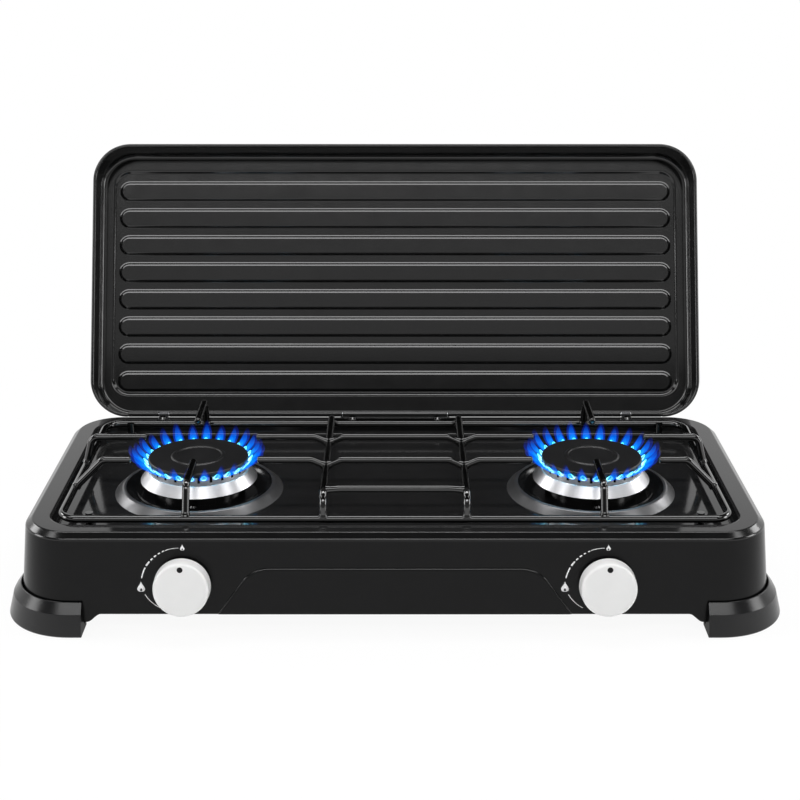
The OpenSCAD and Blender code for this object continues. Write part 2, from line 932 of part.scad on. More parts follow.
module burner_cup(side) {
  color(ALUMINIUM)
    difference() {
      at_burner(side)
        rotate_extrude()
          cup_section();
      at_tap(side)
        translate([0, 0, tube_end - 1])
          cylinder(r = tube_r + seat_play, h = tube_mouth - tube_end);
      cup_screw_places(side)
        cylinder(r = cup_screw_d / 2 + seat_play, h = 6);
    }
}

module burner_cup_left() {
  burner_cup(LEFT);
}

module burner_cup_right() {
  burner_cup(RIGHT);
}

// Tube with a flared mouth and air holes round the injector
module mixing_tube(side) {
  inner = tube_r - tube_wall;
  bell = 6;
  color(STEEL)
    at_tap(side)
      difference() {
        rotate_extrude()
          polygon([
            [inner, tube_end],
            [tube_r, tube_end],
            [tube_r, tube_mouth - bell],
            [tube_r + 3, tube_mouth],
            [inner + 3, tube_mouth],
            [inner, tube_mouth - bell]
          ]);
        for (a = [0, 90])
          rotate([0, 0, a])
            translate([0, 0, tube_mouth - bell - 5])
              rotate([0, 90, 0])
                cylinder(r = 2.5, h = 4 * tube_r, center = true);
      }
}

module mixing_tube_left() {
  mixing_tube(LEFT);
}

module mixing_tube_right() {
  mixing_tube(RIGHT);
}

module burner_collar(side) {
  top = collar_z + collar_t;
  color(STEEL)
    at_burner(side)
      rotate_extrude()
        polygon([
          [neck_r, collar_z],
          [collar_top_r - collar_t, collar_z],
          [collar_low_r - collar_t, top - collar_h],
          [collar_low_r, top - collar_h],
          [collar_top_r, top],
          [neck_r, top]
        ]);
}

module burner_collar_left() {
  burner_collar(LEFT);
}

module burner_collar_right() {
  burner_collar(RIGHT);
}

// Head with a ring of flame ports and a spigot into the cup's neck
module burner_head(side) {
  neck = neck_r - seat_play;
  color(ALUMINIUM)
    at_burner(side)
      difference() {
        rotate_extrude()
          polygon([
            [neck - head_spigot_t, head_z - head_spigot],
            [neck, head_z - head_spigot],
            [neck, head_z + seat_play],
            [head_r, head_z + seat_play],
            [head_r, head_z + head_h],
            [head_r - head_wall, head_z + head_h],
            [neck - head_spigot_t, head_z + head_spigot_t]
          ]);
        for (i = [0:port_n - 1])
          rotate([0, 0, 360 * i / port_n])
            translate([head_r - 2 * head_wall, -port_w / 2, head_z + head_h - port_h])
              cube([3 * head_wall, port_w, 2 * port_h]);
      }
}

module burner_head_left() {
  burner_head(LEFT);
}

module burner_head_right() {
  burner_head(RIGHT);
}

module burner_cap(side) {
  top = cap_z + cap_t;
  edge = 1.2;
  ridge = 0.7;
  spigot_in = cap_spigot_r - cap_spigot_t;
  color(ENAMEL)
    at_burner(side)
      rotate_extrude()
        polygon(concat(
          [[0, cap_z], [spigot_in, cap_z], [spigot_in, cap_z - cap_spigot_h]],
          [[cap_spigot_r, cap_z - cap_spigot_h], [cap_spigot_r, cap_z], [cap_r - edge, cap_z]],
          arc([cap_r - edge, cap_z + edge], edge, -90, 0, 4),
          arc([cap_r - edge, top - edge], edge, 0, 90, 4),
          ease([cap_ring_r + 2.2, top], [cap_ring_r, top + ridge], 4),
          ease([cap_ring_r - 0.6, top + ridge], [cap_ring_r - 2.4, top], 4),
          [[0, top]]
        ));
}

module burner_cap_left() {
  burner_cap(LEFT);
}

module burner_cap_right() {
  burner_cap(RIGHT);
}

module burner_screws() {
  color(STEEL)
    for (side = [LEFT, RIGHT])
      cup_screw_places(side)
        translate([0, 0, flange_t + 2 * seat_play])
          pan_screw(cup_screw_d / 2, cup_screw_len, cup_screw_head_r, cup_screw_head_h);
}

// Grate

module grate_frame() {
  cx = frame_half_w - frame_bend;
  cy = (frame_back - frame_front) / 2 - frame_bend;
  color(ENAMEL)
    translate([0, (frame_back + frame_front) / 2, frame_zz])
      sweep_round(cx, cy)
        translate([frame_bend, 0])
          circle(d = wire_d);
}

module grate_bar(side) {
  color(ENAMEL)
    along_at(side * bar_x)
      wire_path([[frame_front, frame_zz], [frame_front, bar_zz], [bar_back, bar_zz], [frame_back, frame_zz]],
        wire_d, finger_bend, weld_short, weld_short);
}

module grate_bar_left() {
  grate_bar(LEFT);
}

module grate_bar_right() {
  grate_bar(RIGHT);
}

module rung(y, z) {
  across_at(y)
    wire_path([[-bar_x, bar_zz], [-bar_x + shoulder_run, z], [bar_x - shoulder_run, z], [bar_x, bar_zz]],
      wire_d, finger_bend, weld_short, weld_short);
}

module grate_rungs() {
  color(ENAMEL) {
    rung(burner_y + finger_y, finger_zz);
    rung(burner_y - finger_y, finger_zz);
    rung(rung_front, rung_zz);
  }
}

// Finger from its free tip over a shoulder down to the wire that carries it
module finger(tip, shoulder, foot_at) {
  wire_path([tip, shoulder, foot_at], wire_d, finger_bend, 0, weld_short);
}

// Fingers of the right burner; the left burner's are their mirror image
module finger_wires() {
  back = burner_y + finger_y;
  front = burner_y - finger_y;
  slope = finger_zz - frame_zz;
  side_foot = [frame_half_w, frame_zz];
  bar_foot = [bar_x, bar_zz];
  bar_shoulder = [bar_x + shoulder_run, finger_zz];
  rise_front = frame_front + front_rise;
  rise_back = frame_back - back_rise;
  across_at(front)
    finger([burner_x + tip_front, finger_zz], [frame_half_w - slope, finger_zz], side_foot);
  across_at(back)
    finger([burner_x + tip_back, finger_zz], [frame_half_w - side_rise, finger_zz], side_foot);
  across_at(front)
    finger([burner_x - tip_front, finger_zz], bar_shoulder, bar_foot);
  across_at(back)
    finger([burner_x - tip_back, finger_zz], bar_shoulder, bar_foot);
  along_at(burner_x)
    finger([rise_front + front_run, finger_zz], [rise_front, finger_zz], [frame_front, frame_zz]);
  along_at(burner_x + back_off)
    finger([rise_back - back_run, finger_zz], [rise_back, finger_zz], [frame_back, frame_zz]);
}

module grate_fingers(side) {
  color(ENAMEL)
    mirror([side == LEFT ? 1 : 0, 0, 0])
      finger_wires();
}

module grate_fingers_left() {
  grate_fingers(LEFT);
}

module grate_fingers_right() {
  grate_fingers(RIGHT);
}

module leg_places() {
  for (sx = [-1, 1], y = [frame_front + leg_in, frame_back - leg_in])
    translate([sx * leg_x, y, deck_z])
      children();
}

tip_sole = 2;

module grate_legs() {
  color(ENAMEL)
    leg_places()
      translate([0, 0, tip_sole + 2 * seat_play])
        cylinder(d = wire_d, h = frame_zz + wire_d / 2 - deck_z - tip_sole - 2 * seat_play);
}

module grate_tips() {
  color(RUBBER)
    leg_places()
      translate([0, 0, seat_play])
        difference() {
          cylinder(r = leg_tip_r, h = tip_sole + 3);
          translate([0, 0, tip_sole])
            cylinder(d = wire_d + 2 * seat_play, h = 4);
        }
}

// Taps

module tap_body(side) {
  screw_boss = screw_r + 2;
  color(BRASS)
    at_tap(side)
      difference() {
        union() {
          translate([0, 0, tap_end])
            cylinder(r = tap_r, h = tap_front - tap_end);
          translate([0, 0, tap_end - neck_len])
            cylinder(r = neck_out_r, h = neck_len + 1);
          for (s = [-1, 1])
            translate([s * tap_screw_x, 0, tap_front - 9])
              cylinder(r = screw_boss, h = 9);
          translate([0, 0, port_z])
            rotate([-90, 0, 0])
              cylinder(r = spigot_r, h = pipe_rise - pipe_r + pipe_wall);
        }
        translate([0, 0, plug_top])
          cylinder(r = plug_r + 1, h = spring_len + 1);
        translate([0, 0, plug_end])
          cylinder(r1 = plug_small_r + run_play, r2 = plug_r + run_play, h = plug_len);
        translate([0, 0, tap_end - neck_len - 1])
          cylinder(r = injector_r + seat_play, h = neck_len + 1);
        translate([0, 0, tap_end - 1])
          cylinder(r = port_r, h = plug_end - tap_end + 2);
        translate([0, 0, port_z])
          rotate([-90, 0, 0])
            cylinder(r = port_r, h = pipe_rise);
        for (s = [-1, 1])
          translate([s * tap_screw_x, 0, tap_front - 8])
            cylinder(r = screw_r + seat_play, h = 9);
      }
}

module tap_body_left() {
  tap_body(LEFT);
}

module tap_body_right() {
  tap_body(RIGHT);
}

module tap_bonnet(side) {
  end_r = screw_r + 2.5;
  color(STEEL)
    at_tap(side)
      translate([0, 0, bonnet_z])
        difference() {
          linear_extrude(bonnet_t)
            union() {
              circle(tap_r);
              square([2 * tap_screw_x, 2 * end_r], center = true);
              for (s = [-1, 1])
                translate([s * tap_screw_x, 0])
                  circle(end_r);
            }
          translate([0, 0, -1])
            cylinder(r = spindle_r + run_play, h = bonnet_t + 2);
          for (s = [-1, 1])
            translate([s * tap_screw_x, 0, -1])
              cylinder(r = screw_r + seat_play, h = bonnet_t + 2);
        }
}

module tap_bonnet_left() {
  tap_bonnet(LEFT);
}

module tap_bonnet_right() {
  tap_bonnet(RIGHT);
}

// Taper plug with a slot for the spindle's tongue and an L-shaped gas way
module tap_plug(side) {
  color(BRASS)
    at_tap(side)
      difference() {
        translate([0, 0, plug_end + seat_play])
          cylinder(r1 = plug_small_r, r2 = plug_r, h = plug_len - seat_play);
        translate([0, 0, plug_top - 8])
          cylinder(r = tongue_r + run_play, h = 9);
        translate([0, 0, plug_end - 1])
          cylinder(r = port_r, h = port_z - plug_end + 1 + port_r);
        translate([0, 0, port_z])
          rotate([0, -90, 0])
            cylinder(r = port_r, h = 2 * plug_r);
      }
}

module tap_plug_left() {
  tap_plug(LEFT);
}

module tap_plug_right() {
  tap_plug(RIGHT);
}

module tap_spindle(side) {
  top = knob_base + knob_h - 3;
  low = plug_top - 8 + knob_push + 0.5;
  flat = 1;
  color(STEEL)
    at_tap(side)
      difference() {
        union() {
          translate([0, 0, stem_collar_z])
            cylinder(r = spindle_r, h = top - stem_collar_z);
          translate([0, 0, stem_collar_z])
            cylinder(r = stem_collar_r, h = stem_collar_t);
          translate([0, 0, low])
            cylinder(r = tongue_r, h = stem_collar_z - low + 1);
        }
        translate([-spindle_r, -spindle_r - 2 + flat, knob_base + 2])
          cube([2 * spindle_r, 2, knob_h]);
      }
}

module tap_spindle_left() {
  tap_spindle(LEFT);
}

module tap_spindle_right() {
  tap_spindle(RIGHT);
}

// Coil spring as one tube along a helix
module coil(r, wire, turns, length) {
  rings = turns * 8;
  sides = 6;
  step = 360 / sides;
  points = [
    for (i = [0:rings], j = [0:sides - 1])
      let (a = 360 * turns * i / rings, b = j * step, out = r + wire * cos(b))
      [out * cos(a), out * sin(a), length * i / rings + wire * sin(b)]
  ];
  walls = [
    for (i = [0:rings - 1], j = [0:sides - 1])
      let (k = (j + 1) % sides, p = i * sides, q = p + sides)
      each [[p + j, q + k, p + k], [p + j, q + j, q + k]]
  ];
  start = [for (j = [1:sides - 2]) [0, j, j + 1]];
  last = rings * sides;
  end = [for (j = [1:sides - 2]) [last, last + j + 1, last + j]];
  polyhedron(points, concat(walls, start, end));
}

module tap_spring(side) {
  room = stem_collar_z - plug_top - 2 * (spring_wire_r + seat_play);
  color(STEEL)
    at_tap(side)
      translate([0, 0, plug_top + spring_wire_r + seat_play])
        coil(spring_r, spring_wire_r, spring_turns, room);
}

module tap_spring_left() {
  tap_spring(LEFT);
}

module tap_spring_right() {
  tap_spring(RIGHT);
}

module tap_screws() {
  color(STEEL)
    for (side = [LEFT, RIGHT])
      at_tap(side)
        for (s = [-1, 1])
          translate([s * tap_screw_x, 0, seat_play])
            pan_screw(screw_r, tap_screw_len, screw_head_r, screw_head_h);
}

// Knob: flared base, soft edge, pointer dot, hollow back and a hub on the spindle
module knob(side) {
  top = knob_base + knob_h;
  soft = 2.2;
  wall = 2;
  hub_r = spindle_r + 2.6;
  roof = top - 4;
  dot_r = 2.1;
  color(KNOB_WHITE)
    at_tap(side)
      difference() {
        union() {
          rotate_extrude()
            polygon(concat(
              [[knob_base_r - wall, knob_base], [knob_base_r, knob_base], [knob_base_r, knob_base + 1.5]],
              arc([knob_face_r - soft, top - soft], soft, 5, 90, arc_steps),
              [[0, top], [0, roof], [knob_face_r - wall - 1, roof]]
            ));
          translate([0, 0, knob_base])
            cylinder(r = hub_r, h = knob_h - 2);
        }
        translate([0, 0, knob_base - 1])
          cylinder(r = spindle_r + seat_play, h = knob_h - 3 + 1 + seat_play);
        translate([0, knob_face_r - soft - 3, top - 0.5])
          cylinder(r = dot_r, h = 1);
      }
}

module knob_left() {
  knob(LEFT);
}

module knob_right() {
  knob(RIGHT);
}

module injector(side) {
  jet_r = 0.4;
  nose = 4;
  color(BRASS)
    at_tap(side)
      difference() {
        union() {
          translate([0, 0, injector_z - injector_len + nose + 5])
            cylinder(r = injector_r, h = injector_len - nose);
          translate([0, 0, injector_z - injector_len + nose])
            cylinder(r = 5.5, h = 5, $fn = 6);
          translate([0, 0, injector_z - injector_len])
            cylinder(r1 = 2, r2 = injector_r, h = nose + 1);
        }
        translate([0, 0, injector_z - injector_len + 2])
          cylinder(r = port_r, h = injector_len + 5);
        translate([0, 0, injector_z - injector_len - 1])
          cylinder(r = jet_r, h = 4);
      }
}

module injector_left() {
  injector(LEFT);
}

module injector_right() {
  injector(RIGHT);
}

// Gas line

module pipe_run(d) {
  translate([0, 0, pipe_z])
    wire_path([[-burner_x - pipe_over, pipe_y], [pipe_x, pipe_y], [pipe_x, pipe_end_y]], d, pipe_bend);
}

module gas_pipe() {
  color(STEEL)
    difference() {
      pipe_run(2 * pipe_r);
      pipe_run(2 * (pipe_r - pipe_wall));
      for (side = [LEFT, RIGHT])
        at_tap(side)
          translate([0, 0, port_z])
            rotate([-90, 0, 0])
              cylinder(r = spigot_r + seat_play, h = pipe_rise);
    }
}

module pipe_cap() {
  color(STEEL)
    translate([-burner_x - pipe_over, pipe_y, pipe_z])
      difference() {
        x_rod(-pipe_cap_end, pipe_cap_len, pipe_r + pipe_cap_wall);
        x_rod(-seat_play, pipe_cap_len + 1, pipe_r + seat_play);
      }
}

// Straight fitting through the rear panel with a plain stub for a hose
module gas_inlet() {
  stub_y = rear_y + nut_t + stub_gap;
  color(BRASS)
    translate([pipe_x, 0, pipe_z])
      rotate([-90, 0, 0])
        difference() {
          union() {
            translate([0, 0, pipe_end_y - inlet_socket])
              cylinder(r = inlet_r, h = rear_y - inlet_step - pipe_end_y + inlet_socket);
            translate([0, 0, rear_y - 3])
              cylinder(r = inlet_r - inlet_step, h = stub_y - rear_y + 3);
            translate([0, 0, stub_y - 1])
              cylinder(r = stub_r, h = stub_len + 1);
          }
          translate([0, 0, pipe_end_y - inlet_socket - 1])
            cylinder(r = pipe_r + seat_play, h = inlet_socket + 1 + seat_play);
          translate([0, 0, pipe_end_y - 1])
            cylinder(r = pipe_r - 2 * pipe_wall, h = stub_y + stub_len);
        }
}

module inlet_nut() {
  color(STEEL)
    translate([pipe_x, rear_y + 1, pipe_z])
      rotate([-90, 0, 0])
        difference() {
          cylinder(r = inlet_r + inlet_step, h = nut_t, $fn = 6);
          translate([0, 0, -1])
            cylinder(r = inlet_r - inlet_step + seat_play, h = nut_t + 2);
        }
}

body_shell();
foot_front_left();
foot_front_right();
foot_rear_left();
foot_rear_right();
lid();
hinge_rod();
hinge_clips();
hinge_bracket();
hinge_screws();
burner_cup_left();
burner_cup_right();
mixing_tube_left();
mixing_tube_right();
burner_collar_left();
burner_collar_right();
burner_head_left();
burner_head_right();
burner_cap_left();
burner_cap_right();
burner_screws();
grate_frame();
grate_bar_left();
grate_bar_right();
grate_rungs();
grate_fingers_left();
grate_fingers_right();
grate_legs();
grate_tips();
tap_body_left();
tap_body_right();
tap_bonnet_left();
tap_bonnet_right();
tap_plug_left();
tap_plug_right();
tap_spindle_left();
tap_spindle_right();
tap_spring_left();
tap_spring_right();
tap_screws();
knob_left();
knob_right();
injector_left();
injector_right();
gas_pipe();
pipe_cap();
gas_inlet();
inlet_nut();
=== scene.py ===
import math
import random

import bmesh
import bpy
from mathutils import Matrix, Vector


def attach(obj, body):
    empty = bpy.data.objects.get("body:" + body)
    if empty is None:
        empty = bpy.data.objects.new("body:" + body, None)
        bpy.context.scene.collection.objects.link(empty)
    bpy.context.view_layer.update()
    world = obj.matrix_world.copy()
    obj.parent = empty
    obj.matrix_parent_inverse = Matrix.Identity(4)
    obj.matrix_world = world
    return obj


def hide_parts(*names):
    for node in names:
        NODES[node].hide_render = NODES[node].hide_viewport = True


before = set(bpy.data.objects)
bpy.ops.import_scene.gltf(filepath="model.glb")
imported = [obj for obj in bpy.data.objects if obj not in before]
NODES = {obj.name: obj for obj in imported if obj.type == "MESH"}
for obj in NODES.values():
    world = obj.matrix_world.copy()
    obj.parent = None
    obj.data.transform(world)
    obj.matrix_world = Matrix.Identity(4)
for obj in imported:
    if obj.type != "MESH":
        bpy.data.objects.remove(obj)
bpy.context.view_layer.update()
MM = 0.001
random.seed(7)
SIDES = ((-1, "left"), (1, "right"))
# Points closer than this are one point
WELD_DIST = 0.0005
SHARP_ANGLE = math.radians(38)

# Sizes in millimetres. They follow the part's source, but the rim's shoulder, the feet, the lid's ribs, the
# burner collars, the caps' rings, the bend of the cross bars and the pointer dots are drawn a little closer
# to the photograph.

# Body shell
BODY_W = 565.0
BODY_D = 264.0
RIM_Z = 77.5
CORNER_R = 38.0
FLARE = math.radians(6)
SHEET = 0.8
SKIRT_Z = 15.0
SKIRT_DIP = 6.3
DIP_RUN = 11.0
DIP_OFF = 3.0
RIM_ROUND = 6.5
RIM_FLAT = 11.5
WELL_ROUND = 2.5
WELL_DEPTH = 10.0
WELL_LEAN = math.radians(8)
DECK_ROUND = 3.0

# Shoulder of the rim: a narrow flat, facing this many degrees upward, between two rounds
SHOULDER = 8.5
SHOULDER_AWAY = 52
SHOULDER_LOW_R = 3.0
SHOULDER_TOP_R = 2.2

# Raised ring round a burner, with soft edges given as (outward, up)
RING_OUT = 67.0
RING_CREST = 60.0
RING_H = 5.0
RING_SLOPE = 8.0
RING_TURN = 0.7
RING_LEVEL = 0.2
RING_FOOT_EDGE = ((0.4, 0.0), (-0.5, 0.3))
RING_CREST_EDGE = ((1.6, -0.45), (0.9, -0.06))
SEAT_H = 1.0
CUP_GAP = 1.0

# Pressed panel of the front, with its steps given as (inward, out of the panel)
EMBOSS_DROP = 26.0
EMBOSS_HALF = 94.0
EMBOSS_R = 26.0
EMBOSS_SLOPE = 54.0
EMBOSS_EDGE = 0.15
PRESS_STEPS = ((0.0, -0.2), (0.15, 0.1), (0.4, 0.45), (0.75, 0.78), (1.2, 1.0), (1.8, 1.13), (3.0, 1.17))
PRESS_BRIGHT = (2, 3)

# Feet: the lower and the upper outer face look FOOT_LOW_AWAY and FOOT_TOP_AWAY degrees upward
FOOT_H = 25.2
FOOT_BREAK = 17.3
FOOT_LEAN = 4.3
FOOT_OUT = 9.5
FOOT_REACH = 47.0
FOOT_LIP = 2.3
FOOT_LOW_AWAY = 15
FOOT_TOP_AWAY = 38.4
FOOT_SOLE = 14.0
FOOT_SOLE_EDGE = 0.4
FOOT_FLOOR = 4.0
FOOT_WALL = 2.0
FOOT_DRAFT = 0.4
FOOT_GAP = 0.2
FOOT_LEAD = 4.0
FOOT_END_ROUND = 0.9
FOOT_SLIVER = 0.02
GROOVE_GAP = 0.1
SOLE_R = 1.3
SOLE_SET = 1.5
BREAK_R = 1.0
BREAK_IN = 0.9
BREAK_DOWN = 0.4
LIP_R = 0.8
LIP_BACK = 100
# Edge of the lip on the skirt's side, as (outward, down)
LEAD_EDGE = ((1.2, 0.1), (1.0, 0.5))

# Lid
LID_H = 35.0
LID_OPEN = math.radians(113)
LID_R = 34.0
LID_LEAN = math.radians(5)
LID_FRONT_SET = 8.8
LID_SIDE_SET = 1.7
LID_ROUND = 5.0
LID_ROLL = 1.6
FLANGE_IN = 0.3
FIELD_RISE = 2.0
FIELD_SIDE = 12.5
FIELD_FRONT = 17.3
FIELD_BACK = 20.6
FIELD_R = 17.0
STEP_RUN = 4.0

# Ribs of the lid; the upper flank's first facet leans more from rib to rib, in degrees
RIB_N = 8
RIB_W = 18.0
RIB_H = 2.5
RIB_END = 3.0
RIB_FRONT = 6.2
RIB_BACK = 2.0
RIB_TILT = 3.0
RIB_TILT_STEP = 0.77
RIB_UPPER_RUN = 4.15

# Hinge
KNUCKLE_R = 2.5
KNUCKLE_HALF = 240.0
KNUCKLE_GAP = 0.6
KNUCKLE_EDGE = 0.3
KNUCKLE_END = 0.9
HINGE_RISE = 2.0
NOTCH_H = 3.1
NOTCH_CUT = 0.05
CLIP_X = 208.0
CLIP_W = 8.0
BRACKET_HALF = 47.0

# Burners
BURNER_X = 159.0
BURNER_Y = -19.0
CAP_R = 40.4
CAP_TOP = 19.3
CAP_T = 3.8
CAP_GAP = 0.3
CAP_LOW_R = 1.0
CAP_TOP_R = 1.6
CAP_RING = 20.2
CAP_RING_H = 1.0
CAP_RING_FOOT = 2.4
CAP_RING_OUT = 0.2
CAP_RING_IN = 0.6
CAP_DISH = 0.1
SPIGOT_IN = 5.4
SPIGOT_T = 2.0
SPIGOT_H = 2.0
HEAD_R = 39.6
HEAD_H = 6.6
HEAD_WALL = 4.0
HEAD_SLEEVE = 8.0
HEAD_FLOOR = 2.0
HEAD_EDGE = 0.4
HEAD_SOFT = 0.3
SLEEVE_GAP = 0.1
SLEEVE_T = 2.0
PORT_N = 26
PORT_W = 2.0
PORT_H = 4.4
PORT_DEEP = 3.2
PORT_EDGE = 0.002
COLLAR_LOW = 47.0
COLLAR_TOP = 41.0
COLLAR_H = 8.4
COLLAR_T = 0.8
COLLAR_R = 1.0
COLLAR_AWAY = 37
COLLAR_EDGE = 0.4
NECK_R = 35.0
CUP_WALL = 1.6

# Grate
WIRE_R = 3.0
FINGER_Z = RIM_Z + 25.6
FRAME_Z = RIM_Z + 1.8
BAR_Z = RIM_Z + 20.5
RUNG_Z = RIM_Z + 21.5
FRAME_HALF = 255.0
FRAME_FRONT = -107.5
FRAME_BACK = 104.0
FRAME_BEND = 14.0
BAR_X = 54.5
BAR_BACK = 66.0
BAR_BEND = 12.0
RUNG_FRONT = -95.0
RUNG_SLOPE = 12.0
FINGER_Y = 26.0
FINGER_BEND = 7.0
FINGER_FALL = 6.0
TIP_FRONT = 50.0
TIP_BACK = 45.0
FRONT_RISE = 11.0
FRONT_RUN = 48.0
BACK_RISE = 9.0
BACK_RUN = 51.0
BACK_OFF = 7.8
WELD_IN = 1.0
# Ends of a wire as (distance from the end, factor of the radius)
WELD_SWELL = ((0.0, 1.3), (1.0, 1.24), (2.0, 1.1), (3.2, 1.0))
FREE_ROUND = ((0.0, 0.45), (0.15, 0.62), (0.45, 0.8), (0.95, 0.93), (1.7, 1.0))

# Knobs
KNOB_DROP = 38.8
KNOB_BASE_R = 21.4
KNOB_FACE_R = 20.9
KNOB_H = 12.5
KNOB_BASE = 3.0
KNOB_WALL = 2.0
KNOB_SOFT = 2.4
KNOB_ROOF = 4.0
DOT_R = 2.3
DOT_UP = 16.3
DOT_PROUD = 0.06
DOT_DEEP = 0.6

# Derived values
HW = BODY_W / 2 - CORNER_R
HD = BODY_D / 2 - CORNER_R
FLAT_OUT = CORNER_R - RIM_ROUND * (1 - math.sin(FLARE)) / math.cos(FLARE)
FLAT_IN = FLAT_OUT - RIM_FLAT
DECK_Z = RIM_Z - WELL_DEPTH
SEAT_Z = DECK_Z + SEAT_H
HINGE_Y = BODY_D / 2 - KNUCKLE_R
HINGE_Z = RIM_Z + HINGE_RISE
KNOB_Z = RIM_Z - KNOB_DROP
PANEL_Y = -(BODY_D / 2 + KNOB_DROP * math.tan(FLARE))
HEAD_Z = RIM_Z + CAP_TOP - CAP_T - CAP_GAP - HEAD_H
CAP_Z = HEAD_Z + HEAD_H + CAP_GAP

# The lid's own frame has its origin on the hinge line, with the shut lid level
LID_BACK = KNUCKLE_R
LID_FRONT = -(HD + FLAT_OUT - LID_FRONT_SET) - HINGE_Y
LID_HALF = HW + FLAT_OUT - LID_SIDE_SET
LID_MID = (LID_BACK + LID_FRONT) / 2
LID_W = LID_HALF - LID_R
LID_D = (LID_BACK - LID_FRONT) / 2 - LID_R
BRACKET_GAP = (-BRACKET_HALF - KNUCKLE_GAP, BRACKET_HALF + KNUCKLE_GAP)
CLIP_GAPS = [
    (s * CLIP_X - CLIP_W / 2 - KNUCKLE_GAP, s * CLIP_X + CLIP_W / 2 + KNUCKLE_GAP) for s, _ in SIDES
]


# Small geometry helpers

def arc(cx, cy, r, a0, a1, n):
    """Points on an arc, with its angles in degrees."""
    angles = [math.radians(a0 + (a1 - a0) * i / n) for i in range(n + 1)]
    return [(cx + r * math.cos(a), cy + r * math.sin(a)) for a in angles]


def ease(p, q, n):
    """Points from p to q on a curve that is level at both ends."""
    out = []
    for i in range(n + 1):
        t = i / n
        out.append((p[0] + (q[0] - p[0]) * t, p[1] + (q[1] - p[1]) * (1 - math.cos(math.pi * t)) / 2))
    return out


def skirt_u(z):
    """How far the skirt lies outside the corner centres at a height."""
    return CORNER_R + (RIM_Z - z) * math.tan(FLARE)


def rail(w, d, n_corner, stops_w=(), stops_d=()):
    """Round a rounded rectangle's corner centres, counterclockwise: (centre x, y, outward x, y)."""
    sides = [
        ((w, -d), (w, d), (1, 0), stops_d),
        ((w, d), (-w, d), (0, 1), stops_w),
        ((-w, d), (-w, -d), (-1, 0), stops_d),
        ((-w, -d), (w, -d), (0, -1), stops_w),
    ]
    out = []
    for k, (a, b, n, stops) in enumerate(sides):
        run = 1 if k % 2 == 0 else 0
        way = 1 if b[run] > a[run] else -1
        places = sorted([s for s in stops if abs(s) < abs(a[run])], reverse=way < 0)
        points = [a] + [((a[0], s) if run == 1 else (s, a[1])) for s in places] + [b]
        out += [(p[0], p[1], n[0], n[1]) for p in points]
        corner = arc(0, 0, 1, 90 * k, 90 * (k + 1), n_corner)
        out += [(b[0], b[1], u, v) for u, v in corner[1:-1]]
    return out


def weld(bm):
    """Joins points that lie together."""
    bmesh.ops.remove_doubles(bm, verts=bm.verts[:], dist=WELD_DIST)


def grid_faces(bm, rows, close_rows=False, close_cols=False):
    """Quads between rows of vertices; returns the faces."""
    faces = []
    n, m = len(rows), len(rows[0])
    for i in range(n if close_rows else n - 1):
        a, b = rows[i], rows[(i + 1) % n]
        for j in range(m if close_cols else m - 1):
            k = (j + 1) % m
            faces.append(bm.faces.new((a[j], b[j], b[k], a[k])))
    return faces


def sweep(bm, rails, section, closed=True, close_section=False, change=None):
    """Sweeps a section of (outward, height) along a rail; change(i, j, u, z) may move a point."""
    rows = []
    for i, (cx, cy, dx, dy) in enumerate(rails):
        row = []
        for j, (u, z) in enumerate(section):
            if change:
                u, z = change(i, j, u, z)
            row.append(bm.verts.new((cx + u * dx, cy + u * dy, z)))
        rows.append(row)
    return rows, grid_faces(bm, rows, closed, close_section)


def lathe(bm, profile, n, x=0.0, y=0.0, closed=False):
    """Turns a profile of (radius, height) round a vertical axis."""
    rows = []
    for i in range(n):
        a = 2 * math.pi * i / n
        rows.append([bm.verts.new((x + r * math.cos(a), y + r * math.sin(a), z)) for r, z in profile])
    return rows, grid_faces(bm, rows, True, closed)


def fill_between(bm, loops):
    """Level faces that look up, between loops of vertices, the first one outside."""
    edges = []
    for loop in loops:
        for i, v in enumerate(loop):
            w = loop[(i + 1) % len(loop)]
            edges.append(bm.edges.get((v, w)) or bm.edges.new((v, w)))
    made = bmesh.ops.triangle_fill(bm, use_beauty=True, use_dissolve=False, edges=edges)
    for f in made["geom"]:
        if isinstance(f, bmesh.types.BMFace):
            f.normal_update()
            if f.normal.z <= 0:
                f.normal_flip()


def smooth_path(points, radius, steps=7):
    """Replaces the corners of a path by arcs of a radius."""
    pts = [Vector(p) for p in points]
    out = [pts[0]]
    for a, b, c in zip(pts, pts[1:], pts[2:]):
        u, v = (a - b).normalized(), (c - b).normalized()
        half = u.angle(v) / 2
        cut = radius / math.tan(half)
        centre = b + (u + v).normalized() * (radius / math.sin(half))
        p0, p1 = b + u * cut - centre, b + v * cut - centre
        turn = p0.angle(p1)
        axis = p0.cross(p1).normalized()
        for i in range(steps + 1):
            out.append(centre + Matrix.Rotation(turn * i / steps, 3, axis) @ p0)
    out.append(pts[-1])
    return out


def tube(bm, path, radius, n=16, closed=False, radii=None):
    """Round tube along a path; radii gives a factor for each point."""
    pts = [Vector(p) for p in path]
    count = len(pts)
    rows, normal = [], None
    for i, p in enumerate(pts):
        before = pts[i - 1] if i or closed else p
        after = pts[(i + 1) % count] if i < count - 1 or closed else p
        way = (after - before).normalized()
        if normal is None:
            side = Vector((0, 0, 1)) if abs(way.z) < 0.9 else Vector((1, 0, 0))
            normal = way.cross(side).normalized()
        else:
            normal = (normal - way * normal.dot(way)).normalized()
        other = way.cross(normal)
        r = radius * (radii[i] if radii else 1)
        row = []
        for k in range(n):
            a = 2 * math.pi * k / n
            row.append(bm.verts.new(p + (normal * math.cos(a) + other * math.sin(a)) * r))
        rows.append(row)
    grid_faces(bm, rows, closed, True)
    if not closed:
        bm.faces.new(rows[0])
        bm.faces.new(list(reversed(rows[-1])))


